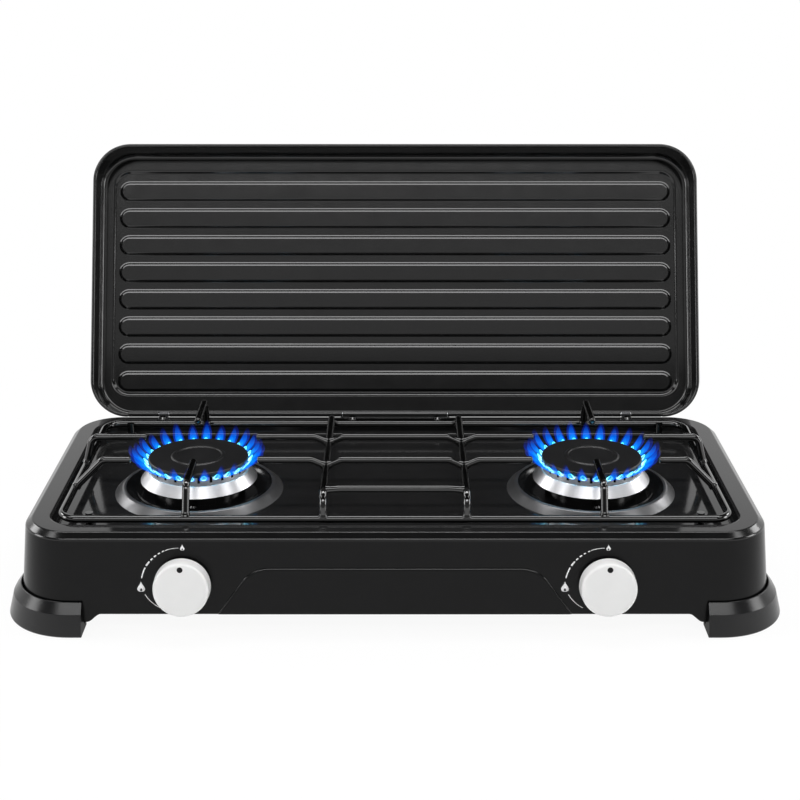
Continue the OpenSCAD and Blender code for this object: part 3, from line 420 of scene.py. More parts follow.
def touch(p, q):
    """End of a wire from q that is welded on another wire at p: just inside that wire's skin."""
    p, q = Vector(p), Vector(q)
    return p + (q - p).normalized() * (WIRE_R - WELD_IN)


def wire(bm, points, bend=FINGER_BEND, weld_start=False):
    """Bent wire, welded on at its last point, where it swells; a free end is rounded."""
    points = points[:-1] + [touch(points[-1], points[-2])]
    if weld_start:
        points[0] = touch(points[0], points[1])
    path = smooth_path(points, bend)

    def end(p, q, shape):
        way = (q - p).normalized()
        return [(p + way * s, f) for s, f in shape]

    first = end(path[0], path[1], WELD_SWELL if weld_start else FREE_ROUND)
    last = end(path[-1], path[-2], WELD_SWELL)
    line = first + [(p, 1.0) for p in path[1:-1]] + list(reversed(last))
    tube(bm, [p for p, _ in line], WIRE_R, 16, radii=[f for _, f in line])


def link_object(name, data):
    """New object in the scene."""
    obj = bpy.data.objects.new(name, data)
    bpy.context.scene.collection.objects.link(obj)
    return obj


def link_mesh(name, bm):
    """New object in the scene from a bmesh in millimetres."""
    bmesh.ops.scale(bm, vec=(MM, MM, MM), verts=bm.verts[:])
    mesh = bpy.data.meshes.new(name)
    bm.to_mesh(mesh)
    bm.free()
    return link_object(name, mesh)


def make(name, bm, body, material, node=None, matrix=None,
         recalc=True, weighted=True, thick=0.0):
    """Turns a bmesh in millimetres into a shaded object that rides on a body."""
    if recalc:
        bmesh.ops.recalc_face_normals(bm, faces=bm.faces[:])
    if matrix is not None:
        bmesh.ops.transform(bm, matrix=matrix, verts=bm.verts[:])
    obj = link_mesh(name, bm)
    for p in obj.data.polygons:
        p.use_smooth = True
    for m in material if isinstance(material, list) else [material]:
        obj.data.materials.append(m)
    if thick:
        solid = obj.modifiers.new("sheet", "SOLIDIFY")
        solid.thickness = thick * MM
        solid.offset = -1
    if weighted:
        split = obj.modifiers.new("edges", "EDGE_SPLIT")
        split.split_angle = SHARP_ANGLE
        normals = obj.modifiers.new("normals", "WEIGHTED_NORMAL")
        normals.keep_sharp = True
        normals.weight = 80
    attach(obj, body)
    if node:
        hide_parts(*([node] if isinstance(node, str) else node))
    return obj


# Materials

def link_math(nodes, links, operation, first, second):
    """Result of a math node on two values."""
    node = nodes.new("ShaderNodeMath")
    node.operation = operation
    links.new(first, node.inputs[0])
    links.new(second, node.inputs[1])
    return node.outputs["Value"]


def mixed_material(name):
    """Material that mixes another shader with a glow, with its nodes, links, mix and glow."""
    mat = bpy.data.materials.new(name)
    mat.use_nodes = True
    nodes, links = mat.node_tree.nodes, mat.node_tree.links
    nodes.clear()
    out = nodes.new("ShaderNodeOutputMaterial")
    mix = nodes.new("ShaderNodeMixShader")
    glow = nodes.new("ShaderNodeEmission")
    links.new(glow.outputs["Emission"], mix.inputs[2])
    links.new(mix.outputs["Shader"], out.inputs["Surface"])
    return mat, nodes, links, mix, glow


def link_range(nodes, links, value, low, high, start=0.0, end=1.0):
    """Result of mapping start and end to low and high."""
    node = nodes.new("ShaderNodeMapRange")
    node.inputs["From Min"].default_value = start
    node.inputs["From Max"].default_value = end
    node.inputs["To Min"].default_value = low
    node.inputs["To Max"].default_value = high
    links.new(value, node.inputs["Value"])
    return node.outputs["Result"]


def shader(name, color, rough, metallic=0.0, specular=0.5, vary=0.04, scale=60.0, bump=0.0,
           bump_scale=900.0, tint=0.0, stretch=(1, 1, 1)):
    """Principled surface with noise in its roughness, its tint and a fine bump."""
    mat = bpy.data.materials.new(name)
    mat.use_nodes = True
    nodes, links = mat.node_tree.nodes, mat.node_tree.links
    bsdf = nodes["Principled BSDF"]
    bsdf.inputs["Metallic"].default_value = metallic
    bsdf.inputs["Specular IOR Level"].default_value = specular
    where = nodes.new("ShaderNodeTexCoord")
    mapping = nodes.new("ShaderNodeMapping")
    mapping.inputs["Scale"].default_value = stretch
    links.new(where.outputs["Object"], mapping.inputs["Vector"])
    noise = nodes.new("ShaderNodeTexNoise")
    noise.inputs["Scale"].default_value = scale
    noise.inputs["Detail"].default_value = 4
    links.new(mapping.outputs["Vector"], noise.inputs["Vector"])
    uneven = link_range(nodes, links, noise.outputs["Fac"], max(0.0, rough - vary), rough + vary)
    links.new(uneven, bsdf.inputs["Roughness"])
    ramp = nodes.new("ShaderNodeValToRGB")
    dark, pale = ramp.color_ramp.elements
    dark.position, pale.position = 0.3, 0.7
    dark.color = [c * (1 - tint) for c in color] + [1]
    pale.color = [min(1, c * (1 + tint)) for c in color] + [1]
    links.new(noise.outputs["Fac"], ramp.inputs["Fac"])
    links.new(ramp.outputs["Color"], bsdf.inputs["Base Color"])
    if bump:
        fine = nodes.new("ShaderNodeTexNoise")
        fine.inputs["Scale"].default_value = bump_scale
        fine.inputs["Detail"].default_value = 3
        links.new(mapping.outputs["Vector"], fine.inputs["Vector"])
        relief = nodes.new("ShaderNodeBump")
        relief.inputs["Strength"].default_value = bump
        relief.inputs["Distance"].default_value = 0.0004
        links.new(fine.outputs["Fac"], relief.inputs["Height"])
        links.new(relief.outputs["Normal"], bsdf.inputs["Normal"])
    return mat


def flame_shader(name, low, high, strength, alpha):
    """Glow along a flame by a stored value; strength and alpha are (foot, tip)."""
    mat, nodes, links, mix, glow = mixed_material(name)
    value = nodes.new("ShaderNodeAttribute")
    value.attribute_name = "along"
    ramp = nodes.new("ShaderNodeValToRGB")
    foot, tip = ramp.color_ramp.elements
    foot.color, tip.color = low + (1,), high + (1,)
    links.new(value.outputs["Fac"], ramp.inputs["Fac"])
    links.new(ramp.outputs["Color"], glow.inputs["Color"])
    links.new(link_range(nodes, links, value.outputs["Fac"], *strength), glow.inputs["Strength"])
    clear = nodes.new("ShaderNodeBsdfTransparent")
    links.new(clear.outputs["BSDF"], mix.inputs[1])
    links.new(link_range(nodes, links, value.outputs["Fac"], *alpha), mix.inputs["Fac"])
    return mat


ENAMEL_GRAIN = {"bump": 0.02, "bump_scale": 700, "tint": 0.1}
PLASTIC_GRAIN = {"bump": 0.03, "bump_scale": 2600, "tint": 0.12}

# Painted light: the rim's flat, the well and the deck take this copy of the body's enamel, painted about
# three times lighter than the skirt's
ENAMEL_LIT_TOP = shader("enamel", (0.013, 0.013, 0.0132), 0.08, specular=0.34, vary=0.02, **ENAMEL_GRAIN)
GLOSS = shader("edge_enamel", (0.003, 0.003, 0.0032), 0.18, specular=0.6, vary=0.02, **ENAMEL_GRAIN)
SKIRT = shader("skirt_enamel", (0.004, 0.004, 0.0042), 0.21, specular=0.17, vary=0.03, **ENAMEL_GRAIN)
# Painted sheen: the ring round a burner is the same enamel as the deck, and its outer slope takes this grey
# metallic copy for its reflections
RING_SHEEN = shader("enamel_ring_sheen", (0.16, 0.16, 0.164), 0.30, metallic=0.8, specular=0.6, vary=0.03, tint=0.1)
LID_PAINT = shader("lid_paint", (0.006, 0.006, 0.0061), 0.10, specular=0.55, vary=0.03,
                   bump=0.02, bump_scale=1500, tint=0.1)
WIRE = shader("wire_enamel", (0.001, 0.001, 0.001), 0.05, specular=0.9, vary=0.02,
              bump=0.02, bump_scale=500, tint=0.1)
CAP = shader("cap_enamel", (0.010, 0.010, 0.0105), 0.34, specular=0.38, vary=0.05,
             bump=0.06, bump_scale=2500, tint=0.12)
PLASTIC = shader("foot_plastic", (0.008, 0.008, 0.0085), 0.24, specular=0.4, **PLASTIC_GRAIN)
# Painted shade: the feet's end faces take this darker, duller copy of the feet's plastic
FOOT_END_SHADE = shader("foot_end_shade", (0.005, 0.005, 0.0052), 0.5, specular=0.08, **PLASTIC_GRAIN)
STEEL = shader("steel", (0.60, 0.61, 0.63), 0.30, metallic=1.0, vary=0.08, scale=200, bump=0.03, tint=0.06)
DARK_STEEL = shader("dark_steel", (0.09, 0.09, 0.095), 0.34, metallic=0.9, vary=0.06, scale=150,
                    bump=0.03, tint=0.1)
POLISHED = shader("polished", (0.74, 0.74, 0.76), 0.32, metallic=1.0, vary=0.03, scale=90,
                  stretch=(1, 1, 30), tint=0.03)
ALUMINIUM = shader("aluminium", (0.78, 0.78, 0.79), 0.34, metallic=0.7, vary=0.06, scale=220,
                   bump=0.05, tint=0.05)
BRASS = shader("brass", (0.72, 0.55, 0.25), 0.28, metallic=1.0, vary=0.07, scale=160, bump=0.04, tint=0.08)
KNOB = shader("knob_white", (0.80, 0.80, 0.795), 0.30, bump=0.03, bump_scale=1800, tint=0.015)
DOT = shader("pointer_dot", (0.006, 0.006, 0.0062), 0.4, specular=0.15, tint=0.1)
PRINT = shader("dial_print", (0.90, 0.90, 0.90), 0.45, vary=0.05, tint=0.04)
RUBBER = shader("rubber", (0.018, 0.018, 0.019), 0.75, specular=0.3, vary=0.08,
                bump=0.1, bump_scale=2000, tint=0.2)

# Looks of the CAD nodes that are shown as they are; pairs have one on each side
CAD_LOOK = {
    "hinge_rod": STEEL, "hinge_clips": DARK_STEEL, "hinge_bracket": WIRE, "hinge_screws": WIRE,
    "burner_screws": WIRE, "tap_screws": STEEL, "gas_pipe": STEEL, "pipe_cap": STEEL,
    "gas_inlet": BRASS, "inlet_nut": STEEL, "grate_legs": WIRE, "grate_tips": RUBBER,
}
CAD_LOOK_PAIRS = {
    "burner_cup": GLOSS, "mixing_tube": STEEL, "injector": BRASS, "tap_body": BRASS,
    "tap_bonnet": STEEL, "tap_plug": BRASS, "tap_spindle": STEEL, "tap_spring": STEEL,
}
for pair_name, look in CAD_LOOK_PAIRS.items():
    for _, side_name in SIDES:
        CAD_LOOK[pair_name + "_" + side_name] = look
for node_name, look in CAD_LOOK.items():
    mesh = NODES[node_name].data
    mesh.materials.clear()
    mesh.materials.append(look)


# Body shell

def skirt_low_at(cx, cy, dx, dy):
    """Height of the skirt's lower edge: high between the feet, low beside them."""
    low = SKIRT_Z - SKIRT_DIP
    if dx and dy:
        return low
    end = (BODY_W / 2 if dy else BODY_D / 2) - FOOT_REACH - DIP_OFF
    place = abs(cx if dy else cy)
    t = (end - place) / DIP_RUN
    return low + SKIRT_DIP * (1 - math.cos(math.pi * max(0.0, min(1.0, t)))) / 2


def shoulder_section():
    """Rim's shoulder from the skirt up to the flat."""
    flat = FLAT_OUT - (SHOULDER - RIM_ROUND) * (1 - math.sin(FLARE)) / math.cos(FLARE)
    rounds = (
        (math.degrees(FLARE), SHOULDER_AWAY, SHOULDER_LOW_R, 7),
        (SHOULDER_AWAY, 90, SHOULDER_TOP_R, 6),
    )
    section = []
    for a, b, r, n in rounds:
        middle = math.radians((a + b) / 2)
        out = (SHOULDER - r) / math.cos(math.radians((b - a) / 2))
        section += arc(flat + out * math.cos(middle), RIM_Z - SHOULDER + out * math.sin(middle), r, a, b, n)
    return section


def well_section():
    """From the rim's flat down the well's wall to the deck."""
    lean = math.degrees(WELL_LEAN)
    wall_top_u = FLAT_IN - WELL_ROUND * math.cos(WELL_LEAN)
    wall_top_z = RIM_Z - WELL_ROUND + WELL_ROUND * math.sin(WELL_LEAN)
    wall_low_z = DECK_Z + DECK_ROUND * (1 - math.sin(WELL_LEAN))
    wall_low_u = wall_top_u - (wall_top_z - wall_low_z) * math.tan(WELL_LEAN)
    deck_edge = wall_low_u - DECK_ROUND * math.cos(WELL_LEAN)
    section = arc(FLAT_IN, RIM_Z - WELL_ROUND, WELL_ROUND, 90, 180 - lean, 8)
    return section + arc(deck_edge, DECK_Z + DECK_ROUND, DECK_ROUND, -lean, -90, 8)


def ring_profile():
    """Raised ring from the burner's seat out to the deck."""
    crest_z = DECK_Z + RING_H
    profile = [(RING_OUT + u, DECK_Z + h) for u, h in RING_FOOT_EDGE]
    profile += [(RING_CREST + u, crest_z + h) for u, h in RING_CREST_EDGE]
    profile += ease((RING_CREST - RING_LEVEL, crest_z), (RING_CREST - RING_SLOPE, SEAT_Z), 10)
    profile += [(NECK_R + CUP_WALL + CUP_GAP, SEAT_Z)]
    return list(reversed(profile))


def build_body():
    """Shell of enamelled sheet: skirt, rim, sunk deck and a ring round each burner."""
    shoulder = shoulder_section()
    section = [(skirt_u(SKIRT_Z), SKIRT_Z)] + shoulder + well_section()

    def stops(half):
        end = half - FOOT_REACH - DIP_OFF
        run = [end - DIP_RUN * i / 12 for i in range(13)]
        return [s * r for r in run for s in (1, -1)]

    rails = rail(HW, HD, 24, stops(BODY_W / 2), stops(BODY_D / 2))

    def change(i, j, u, z):
        if j == 0:
            z = skirt_low_at(*rails[i])
            u = skirt_u(z)
        return u, z

    materials = [ENAMEL_LIT_TOP, RING_SHEEN, SKIRT, GLOSS]
    enamel, ring, skirt, gloss = range(len(materials))
    bm = bmesh.new()
    rows, faces = sweep(bm, rails, section, change=change)
    # The rim's flat, the well and the deck take the enamel painted lighter: painted light on the top of the
    # shell
    for k, f in enumerate(faces):
        place = k % (len(section) - 1)
        f.material_index = skirt if place == 0 else gloss if place < len(shoulder) - 1 else enamel
    rings = []
    for side, _ in SIDES:
        x = side * BURNER_X
        turned, faces = lathe(bm, ring_profile(), 96, x, BURNER_Y)
        for f in faces:
            spot = f.calc_center_median()
            outside = math.hypot(spot.x - x, spot.y - BURNER_Y) > RING_CREST - RING_TURN
            # Outer slope: the grey metallic copy of the enamel, a painted sheen
            f.material_index = ring if outside else gloss
        rings.append([r[-1] for r in turned])
    fill_between(bm, [[r[-1] for r in rows]] + rings)
    make("body", bm, "base", materials, "body_shell", recalc=False, thick=SHEET)


def on_panel(x):
    """Frame on the front panel at the knobs' height: z out of the panel, y up along it."""
    return Matrix.Translation((x, PANEL_Y, KNOB_Z)) @ Matrix.Rotation(math.pi / 2 - FLARE, 4, "X")


def build_front_press():
    """Pressed middle panel of the front, a shallow step with rounded shoulders."""
    top = (KNOB_DROP - EMBOSS_DROP) / math.cos(FLARE)
    bottom = (SKIRT_Z - KNOB_Z) / math.cos(FLARE) + EMBOSS_EDGE

    def outline(d):
        right = arc(EMBOSS_HALF, top - EMBOSS_R, EMBOSS_R - d, 90, 90 - EMBOSS_SLOPE, 24)
        end = right[-1]
        right.append((end[0] + (end[1] - bottom) / math.tan(math.radians(EMBOSS_SLOPE)), bottom))
        return [(-x, y) for x, y in reversed(right)] + right

    bm = bmesh.new()
    rows = []
    for d, h in PRESS_STEPS:
        rows.append([bm.verts.new((x, y, h)) for x, y in outline(d)])
    for k, f in enumerate(grid_faces(bm, rows)):
        f.material_index = 1 if k // (len(rows[0]) - 1) in PRESS_BRIGHT else 0
    bmesh.ops.triangulate(bm, faces=[bm.faces.new(rows[-1])])
    make("front_press", bm, "base", [SKIRT, GLOSS], matrix=on_panel(0))


# Feet

def foot_section():
    """Section of a foot: sole, outside, lip, groove for the skirt, inner wall and floor."""
    groove = SKIRT_Z - SKIRT_DIP - GROOVE_GAP
    inside = SHEET / math.cos(FLARE) + FOOT_GAP
    outer = skirt_u(0) + FOOT_OUT
    lip = skirt_u(FOOT_H) + FOOT_GAP
    sole = skirt_u(0) - FOOT_SOLE
    wall = skirt_u(FOOT_BREAK) - inside
    lead_z = FOOT_H - FOOT_LEAD
    section = [(sole, FOOT_SOLE_EDGE), (sole + FOOT_SOLE_EDGE, 0)]
    low, high = FOOT_LOW_AWAY, FOOT_TOP_AWAY
    section += arc(outer - SOLE_SET, SOLE_SET, SOLE_R, -90, low, 6)
    section += arc(outer - FOOT_LEAN - BREAK_IN, FOOT_BREAK - BREAK_DOWN, BREAK_R, low, high, 4)
    section += arc(lip + FOOT_LIP - LIP_R, FOOT_H - LIP_R, LIP_R, high, LIP_BACK, 5)
    section += [(lip + u, FOOT_H - d) for u, d in LEAD_EDGE]
    section += [(skirt_u(lead_z) + FOOT_GAP, lead_z)]
    section += [(skirt_u(groove) + FOOT_GAP, groove), (skirt_u(groove) - inside, groove)]
    section += [(wall, FOOT_BREAK), (wall - FOOT_WALL, FOOT_BREAK)]
    section += [(wall - FOOT_WALL - FOOT_DRAFT, FOOT_FLOOR), (sole, FOOT_FLOOR)]
    return section


def build_foot(sx, sy, node):
    """Corner foot that wraps the skirt, with rounded ends."""
    leg = FOOT_REACH - CORNER_R
    rails = [(0, -leg, 1, 0), (0, -leg / 2, 1, 0)]
    rails += [(0, 0, u, v) for u, v in arc(0, 0, 1, 0, 90, 20)]
    rails += [(-leg / 2, 0, 0, 1), (-leg, 0, 0, 1)]
    bm = bmesh.new()
    rows, _ = sweep(bm, rails, foot_section(), closed=False, close_section=True)
    ends = [bm.faces.new(list(reversed(rows[0]))), bm.faces.new(rows[-1])]
    # The end faces take the darker copy of the plastic: painted shade
    for f in ends:
        f.material_index = 1
    rims = [e for f in ends for e in f.edges]
    bmesh.ops.bevel(bm, geom=rims, offset=FOOT_END_ROUND, segments=3, profile=0.5, affect="EDGES",
                    clamp_overlap=True)
    # Slivers that the bevel leaves go
    bmesh.ops.remove_doubles(bm, verts=bm.verts[:], dist=FOOT_SLIVER)
    bmesh.ops.triangulate(bm, faces=[f for f in bm.faces if len(f.verts) > 4], ngon_method="EAR_CLIP")
    bmesh.ops.dissolve_degenerate(bm, dist=FOOT_SLIVER / 2, edges=bm.edges[:])
    matrix = Matrix.Diagonal((sx, sy, 1, 1)) @ Matrix.Translation((HW, HD, 0))
    make(node + "_cup", bm, "base", [PLASTIC, FOOT_END_SHADE], node, matrix)


# Lid

def lid_matrix():
    """From the shut lid at the hinge line to the open lid."""
    return Matrix.Translation((0, HINGE_Y, HINGE_Z)) @ Matrix.Rotation(-LID_OPEN, 4, "X")


def rib_loops(bm, k, y, span, z):
    """Loops of a round-ended rib; each flank has a profile of (outward, up)."""
    tilt = math.tan(math.radians(RIB_TILT + RIB_TILT_STEP * k))
    upper = [(-0.2, 0.0), (-0.25, -0.05 * tilt), (-1.3, -1.1 * tilt)]
    upper += [(-1.36, -1.16 * tilt), (-1.7, -1.16 * tilt - 0.26)]
    upper += [(-RIB_UPPER_RUN - r, -RIB_H - h) for r, h in reversed(upper)]
    lower = [(1.0, 0.0), (0.9, -0.03), (0.5, -0.25), (0.1, -0.47), (0.02, -0.56)]
    lower += [(-0.66, -1.94), (-0.74, -2.03), (-1.1, -2.23), (-1.5, -2.45), (-1.6, -RIB_H)]
    loops = []
    for (r_up, h_up), (r_low, h_low) in zip(upper, lower):
        loop = []
        for side, start in ((1, -90), (-1, 90)):
            for i in range(13):
                t = math.radians(start + 180 * i / 12)
                part = (1 - math.sin(t)) / 2
                r = RIB_W / 2 + r_low + (r_up - r_low) * part
                h = h_low + (h_up - h_low) * part
                spot = (side * span + r * math.cos(t), y + r * math.sin(t), z + h)
                loop.append(bm.verts.new(spot))
        loops.append(loop)
    return loops


def build_lid_sheet():
    """Lid's sheet: flange, border, raised field and ribs."""
    border_z, field_z = LID_H - FIELD_RISE - HINGE_RISE, LID_H - HINGE_RISE
    foot_u = LID_R - FLANGE_IN
    round_u = foot_u - (LID_ROUND + (border_z - LID_ROUND) * math.sin(LID_LEAN)) / math.cos(LID_LEAN)
    gaps = [BRACKET_GAP] + CLIP_GAPS
    stops = [x + d for g in gaps for x in g for d in (-NOTCH_CUT, NOTCH_CUT)]
    rails = rail(LID_W, LID_D, 20, stops)
    section = [(foot_u, 0.0)]
    section += arc(round_u, border_z - LID_ROUND, LID_ROUND, math.degrees(LID_LEAN), 90, 12)

    def change(i, j, u, z):
        cx, _, _, dy = rails[i]
        if j == 0 and dy == 1 and any(a < cx < b for a, b in gaps):
            z = NOTCH_H
            u -= z * math.tan(LID_LEAN)
        return u, z

    bm = bmesh.new()
    rows, _ = sweep(bm, rails, section, change=change)
    depth = LID_BACK - LID_FRONT - FIELD_FRONT - FIELD_BACK
    field_w, field_d = LID_HALF - FIELD_SIDE - FIELD_R, depth / 2 - FIELD_R
    shift = (FIELD_FRONT - FIELD_BACK) / 2
    step = list(reversed(ease((FIELD_R - STEP_RUN, field_z), (FIELD_R, border_z), 10)))
    inner_rails = [(x, y + shift, dx, dy) for x, y, dx, dy in rail(field_w, field_d, 16)]
    steps, _ = sweep(bm, inner_rails, step)
    fill_between(bm, [[r[-1] for r in rows], [r[0] for r in steps]])

    span = field_w + FIELD_R - STEP_RUN - RIB_END - RIB_W / 2
    pitch = (depth - 2 * STEP_RUN - RIB_FRONT - RIB_BACK - RIB_W) / (RIB_N - 1)
    first = LID_FRONT + FIELD_FRONT + STEP_RUN + RIB_FRONT + RIB_W / 2 - LID_MID
    slots = []
    for k in range(RIB_N):
        loops = rib_loops(bm, k, first + pitch * k, span, field_z)
        for a, b in zip(loops, loops[1:]):
            for i in range(len(a)):
                j = (i + 1) % len(a)
                bm.faces.new((a[i], a[j], b[j], b[i]))
        bm.faces.new(loops[-1])
        slots.append(loops[0])
    fill_between(bm, [[r[-1] for r in steps]] + slots)
    bmesh.ops.translate(bm, vec=(0, LID_MID, 0), verts=bm.verts[:])
    make("lid_sheet", bm, "lid", LID_PAINT, "lid", lid_matrix(), recalc=False, thick=SHEET)


def build_lid_edge():
    """Rolled edge on three sides of the lid and the hinge knuckles on the fourth."""
    bm = bmesh.new()
    edge = [r for r in rail(LID_W, LID_D, 20) if not (r[3] == 1 and abs(r[0]) < LID_W - 0.01)]
    start = next(i for i, r in enumerate(edge) if r[3] == 1 and r[0] < 0)
    edge = edge[start:] + edge[:start]
    u = LID_R - LID_ROLL
    path = [Vector((r[0] + u * r[2], r[1] + u * r[3] + LID_MID, 0)) for r in edge]
    tube(bm, path, LID_ROLL, 14)
    left, right = CLIP_GAPS
    spans = [(BRACKET_GAP[1], right[0]), (right[1], KNUCKLE_HALF)]
    spans += [(left[1], BRACKET_GAP[0]), (-KNUCKLE_HALF, left[0])]
    for a, b in spans:
        around = [(a, KNUCKLE_END), (a + KNUCKLE_EDGE, 1.0), (b - KNUCKLE_EDGE, 1.0), (b, KNUCKLE_END)]
        tube(bm, [(x, 0, 0) for x, _ in around], KNUCKLE_R, 18, radii=[f for _, f in around])
    make("lid_edge", bm, "lid", LID_PAINT, matrix=lid_matrix())


# Grate

def build_grate_frame():
    """Closed frame of the grate with rounded corners."""
    bm = bmesh.new()
    mid = (FRAME_FRONT + FRAME_BACK) / 2
    rails = rail(FRAME_HALF - FRAME_BEND, (FRAME_BACK - FRAME_FRONT) / 2 - FRAME_BEND, 12)
    path = [Vector((x + FRAME_BEND * dx, y + FRAME_BEND * dy + mid, FRAME_Z)) for x, y, dx, dy in rails]
    tube(bm, path, WIRE_R, 16, closed=True)
    make("grate_frame_wire", bm, "grate", WIRE, "grate_frame")


def build_grate_bars():
    """Two cross bars from the front to the back, and three rungs between them."""
    for side, name in SIDES:
        x = side * BAR_X
        bm = bmesh.new()
        points = [(x, FRAME_FRONT, FRAME_Z), (x, FRAME_FRONT, BAR_Z)]
        points += [(x, BAR_BACK, BAR_Z), (x, FRAME_BACK, FRAME_Z)]
        wire(bm, points, BAR_BEND, weld_start=True)
        make("grate_bar_wire_" + name, bm, "grate", WIRE, "grate_bar_" + name)
    bm = bmesh.new()
    end, level = BAR_X, BAR_X - RUNG_SLOPE
    for y, z in ((BURNER_Y + FINGER_Y, FINGER_Z), (BURNER_Y - FINGER_Y, FINGER_Z), (RUNG_FRONT, RUNG_Z)):
        points = [(-end, y, BAR_Z), (-level, y, z), (level, y, z), (end, y, BAR_Z)]
        wire(bm, points, weld_start=True)
    make("grate_rung_wires", bm, "grate", WIRE, "grate_rungs")


def build_grate_fingers(side, name):
    """Six fingers round a burner, each from its free tip to its weld."""
    front, back = BURNER_Y - FINGER_Y, BURNER_Y + FINGER_Y
    rise_front, rise_back = FRAME_FRONT + FRONT_RISE, FRAME_BACK - BACK_RISE
    back_x = BURNER_X + BACK_OFF
    frame_slope = FRAME_HALF - (FINGER_Z - FRAME_Z)
    bar_slope = BAR_X + RUNG_SLOPE
    across = [
        (BURNER_X + TIP_FRONT, frame_slope, FRAME_HALF, front, FRAME_Z),
        (BURNER_X + TIP_BACK, FRAME_HALF - FINGER_FALL, FRAME_HALF, back, FRAME_Z),
        (BURNER_X - TIP_FRONT, bar_slope, BAR_X, front, BAR_Z),
        (BURNER_X - TIP_BACK, bar_slope, BAR_X, back, BAR_Z),
    ]
    along = [
        (BURNER_X, rise_front + FRONT_RUN, rise_front, FRAME_FRONT),
        (back_x, rise_back - BACK_RUN, rise_back, FRAME_BACK),
    ]
    fingers = [[(a, y, FINGER_Z), (b, y, FINGER_Z), (c, y, z)] for a, b, c, y, z in across]
    fingers += [[(x, a, FINGER_Z), (x, b, FINGER_Z), (x, c, FRAME_Z)] for x, a, b, c in along]
    bm = bmesh.new()
    for points in fingers:
        wire(bm, [(side * x, y, z) for x, y, z in points])
    make("grate_finger_wires_" + name, bm, "grate", WIRE, "grate_fingers_" + name)


# Burners

def build_collar(x, name):
    """Polished cone under the ported ring."""
    low, inner_z = HEAD_Z - COLLAR_H, HEAD_Z - COLLAR_T
    bm = bmesh.new()
    profile = [(NECK_R, inner_z), (COLLAR_TOP - 1.4, inner_z)]
    profile += [(COLLAR_LOW - COLLAR_T, low + 0.3), (COLLAR_LOW - COLLAR_EDGE, low)]
    profile += [(COLLAR_LOW, low + COLLAR_EDGE)]
    profile += arc(COLLAR_TOP - COLLAR_R, HEAD_Z - COLLAR_R, COLLAR_R, COLLAR_AWAY, 90, 5)
    profile += [(NECK_R, HEAD_Z)]
    lathe(bm, profile, 128, x, BURNER_Y, closed=True)
    make("collar_" + name, bm, "base", POLISHED, "burner_collar_" + name)


def build_head(x, name):
    """Ported ring: its wall steps in at each port."""
    y, top = BURNER_Y, HEAD_Z + HEAD_H
    sill = top - PORT_H
    half = PORT_W / 2 / HEAD_R
    land = (2 * math.pi / PORT_N - 2 * half) / 4
    angles = []
    for i in range(PORT_N):
        a = 2 * math.pi * i / PORT_N
        angles += [(a - half - PORT_EDGE, False), (a - half + PORT_EDGE, True)]
        angles += [(a + half - PORT_EDGE, True), (a + half + PORT_EDGE, False)]
        angles += [(a + half + land * k, False) for k in (1, 2, 3)]
    sleeve_out, sleeve_low = NECK_R - SLEEVE_GAP, HEAD_Z - HEAD_SLEEVE
    sleeve_in = sleeve_out - SLEEVE_T
    bm = bmesh.new()
    rows = []
    for a, is_port in angles:
        wall = HEAD_R - PORT_DEEP if is_port else HEAD_R
        profile = [(sleeve_in, sleeve_low), (sleeve_out, sleeve_low), (sleeve_out, HEAD_Z + SLEEVE_GAP)]
        profile += [(HEAD_R - HEAD_EDGE, HEAD_Z + SLEEVE_GAP), (HEAD_R, HEAD_Z + SLEEVE_GAP + HEAD_EDGE)]
        profile += [(HEAD_R, sill), (wall, sill), (wall, top - HEAD_SOFT), (wall - HEAD_SOFT, top)]
        profile += [(HEAD_R - HEAD_WALL, top), (sleeve_in, HEAD_Z + HEAD_FLOOR)]
        rows.append([bm.verts.new((x + r * math.cos(a), y + r * math.sin(a), z)) for r, z in profile])
    # Painted shade: the inner faces of the ports take the black enamel instead of the ring's aluminium
    for f in grid_faces(bm, rows, True, True):
        spot = f.calc_center_median()
        port_shade = HEAD_R - PORT_DEEP - 0.2 < math.hypot(spot.x - x, spot.y - y) < HEAD_R - 0.5
        f.material_index = 1 if port_shade and sill - 0.01 < spot.z < top - 0.2 else 0
    weld(bm)
    make("head_" + name, bm, "base", [ALUMINIUM, GLOSS], "burner_head_" + name)


def build_cap(x, name):
    """Cap with a rounded rim, a raised ring and a spigot below."""
    top, spigot, spigot_z = CAP_Z + CAP_T, HEAD_R - SPIGOT_IN, CAP_Z - SPIGOT_H
    ring_z = top + CAP_RING_H
    bm = bmesh.new()
    profile = [(0.0, CAP_Z), (spigot - SPIGOT_T, CAP_Z), (spigot - SPIGOT_T, spigot_z)]
    profile += [(spigot, spigot_z), (spigot, CAP_Z)]
    profile += arc(CAP_R - CAP_LOW_R, CAP_Z + CAP_LOW_R, CAP_LOW_R, -90, 0, 5)
    profile += arc(CAP_R - CAP_TOP_R, top - CAP_TOP_R, CAP_TOP_R, 0, 90, 8)
    profile += ease((CAP_RING + CAP_RING_FOOT, top), (CAP_RING + CAP_RING_OUT, ring_z), 6)
    profile += ease((CAP_RING - CAP_RING_IN, ring_z), (CAP_RING - CAP_RING_FOOT, top + CAP_DISH), 6)
    profile += [(0.0, top)]
    lathe(bm, profile, 128, x, BURNER_Y)
    weld(bm)
    make("cap_" + name, bm, "cap_" + name, CAP, "burner_cap_" + name)


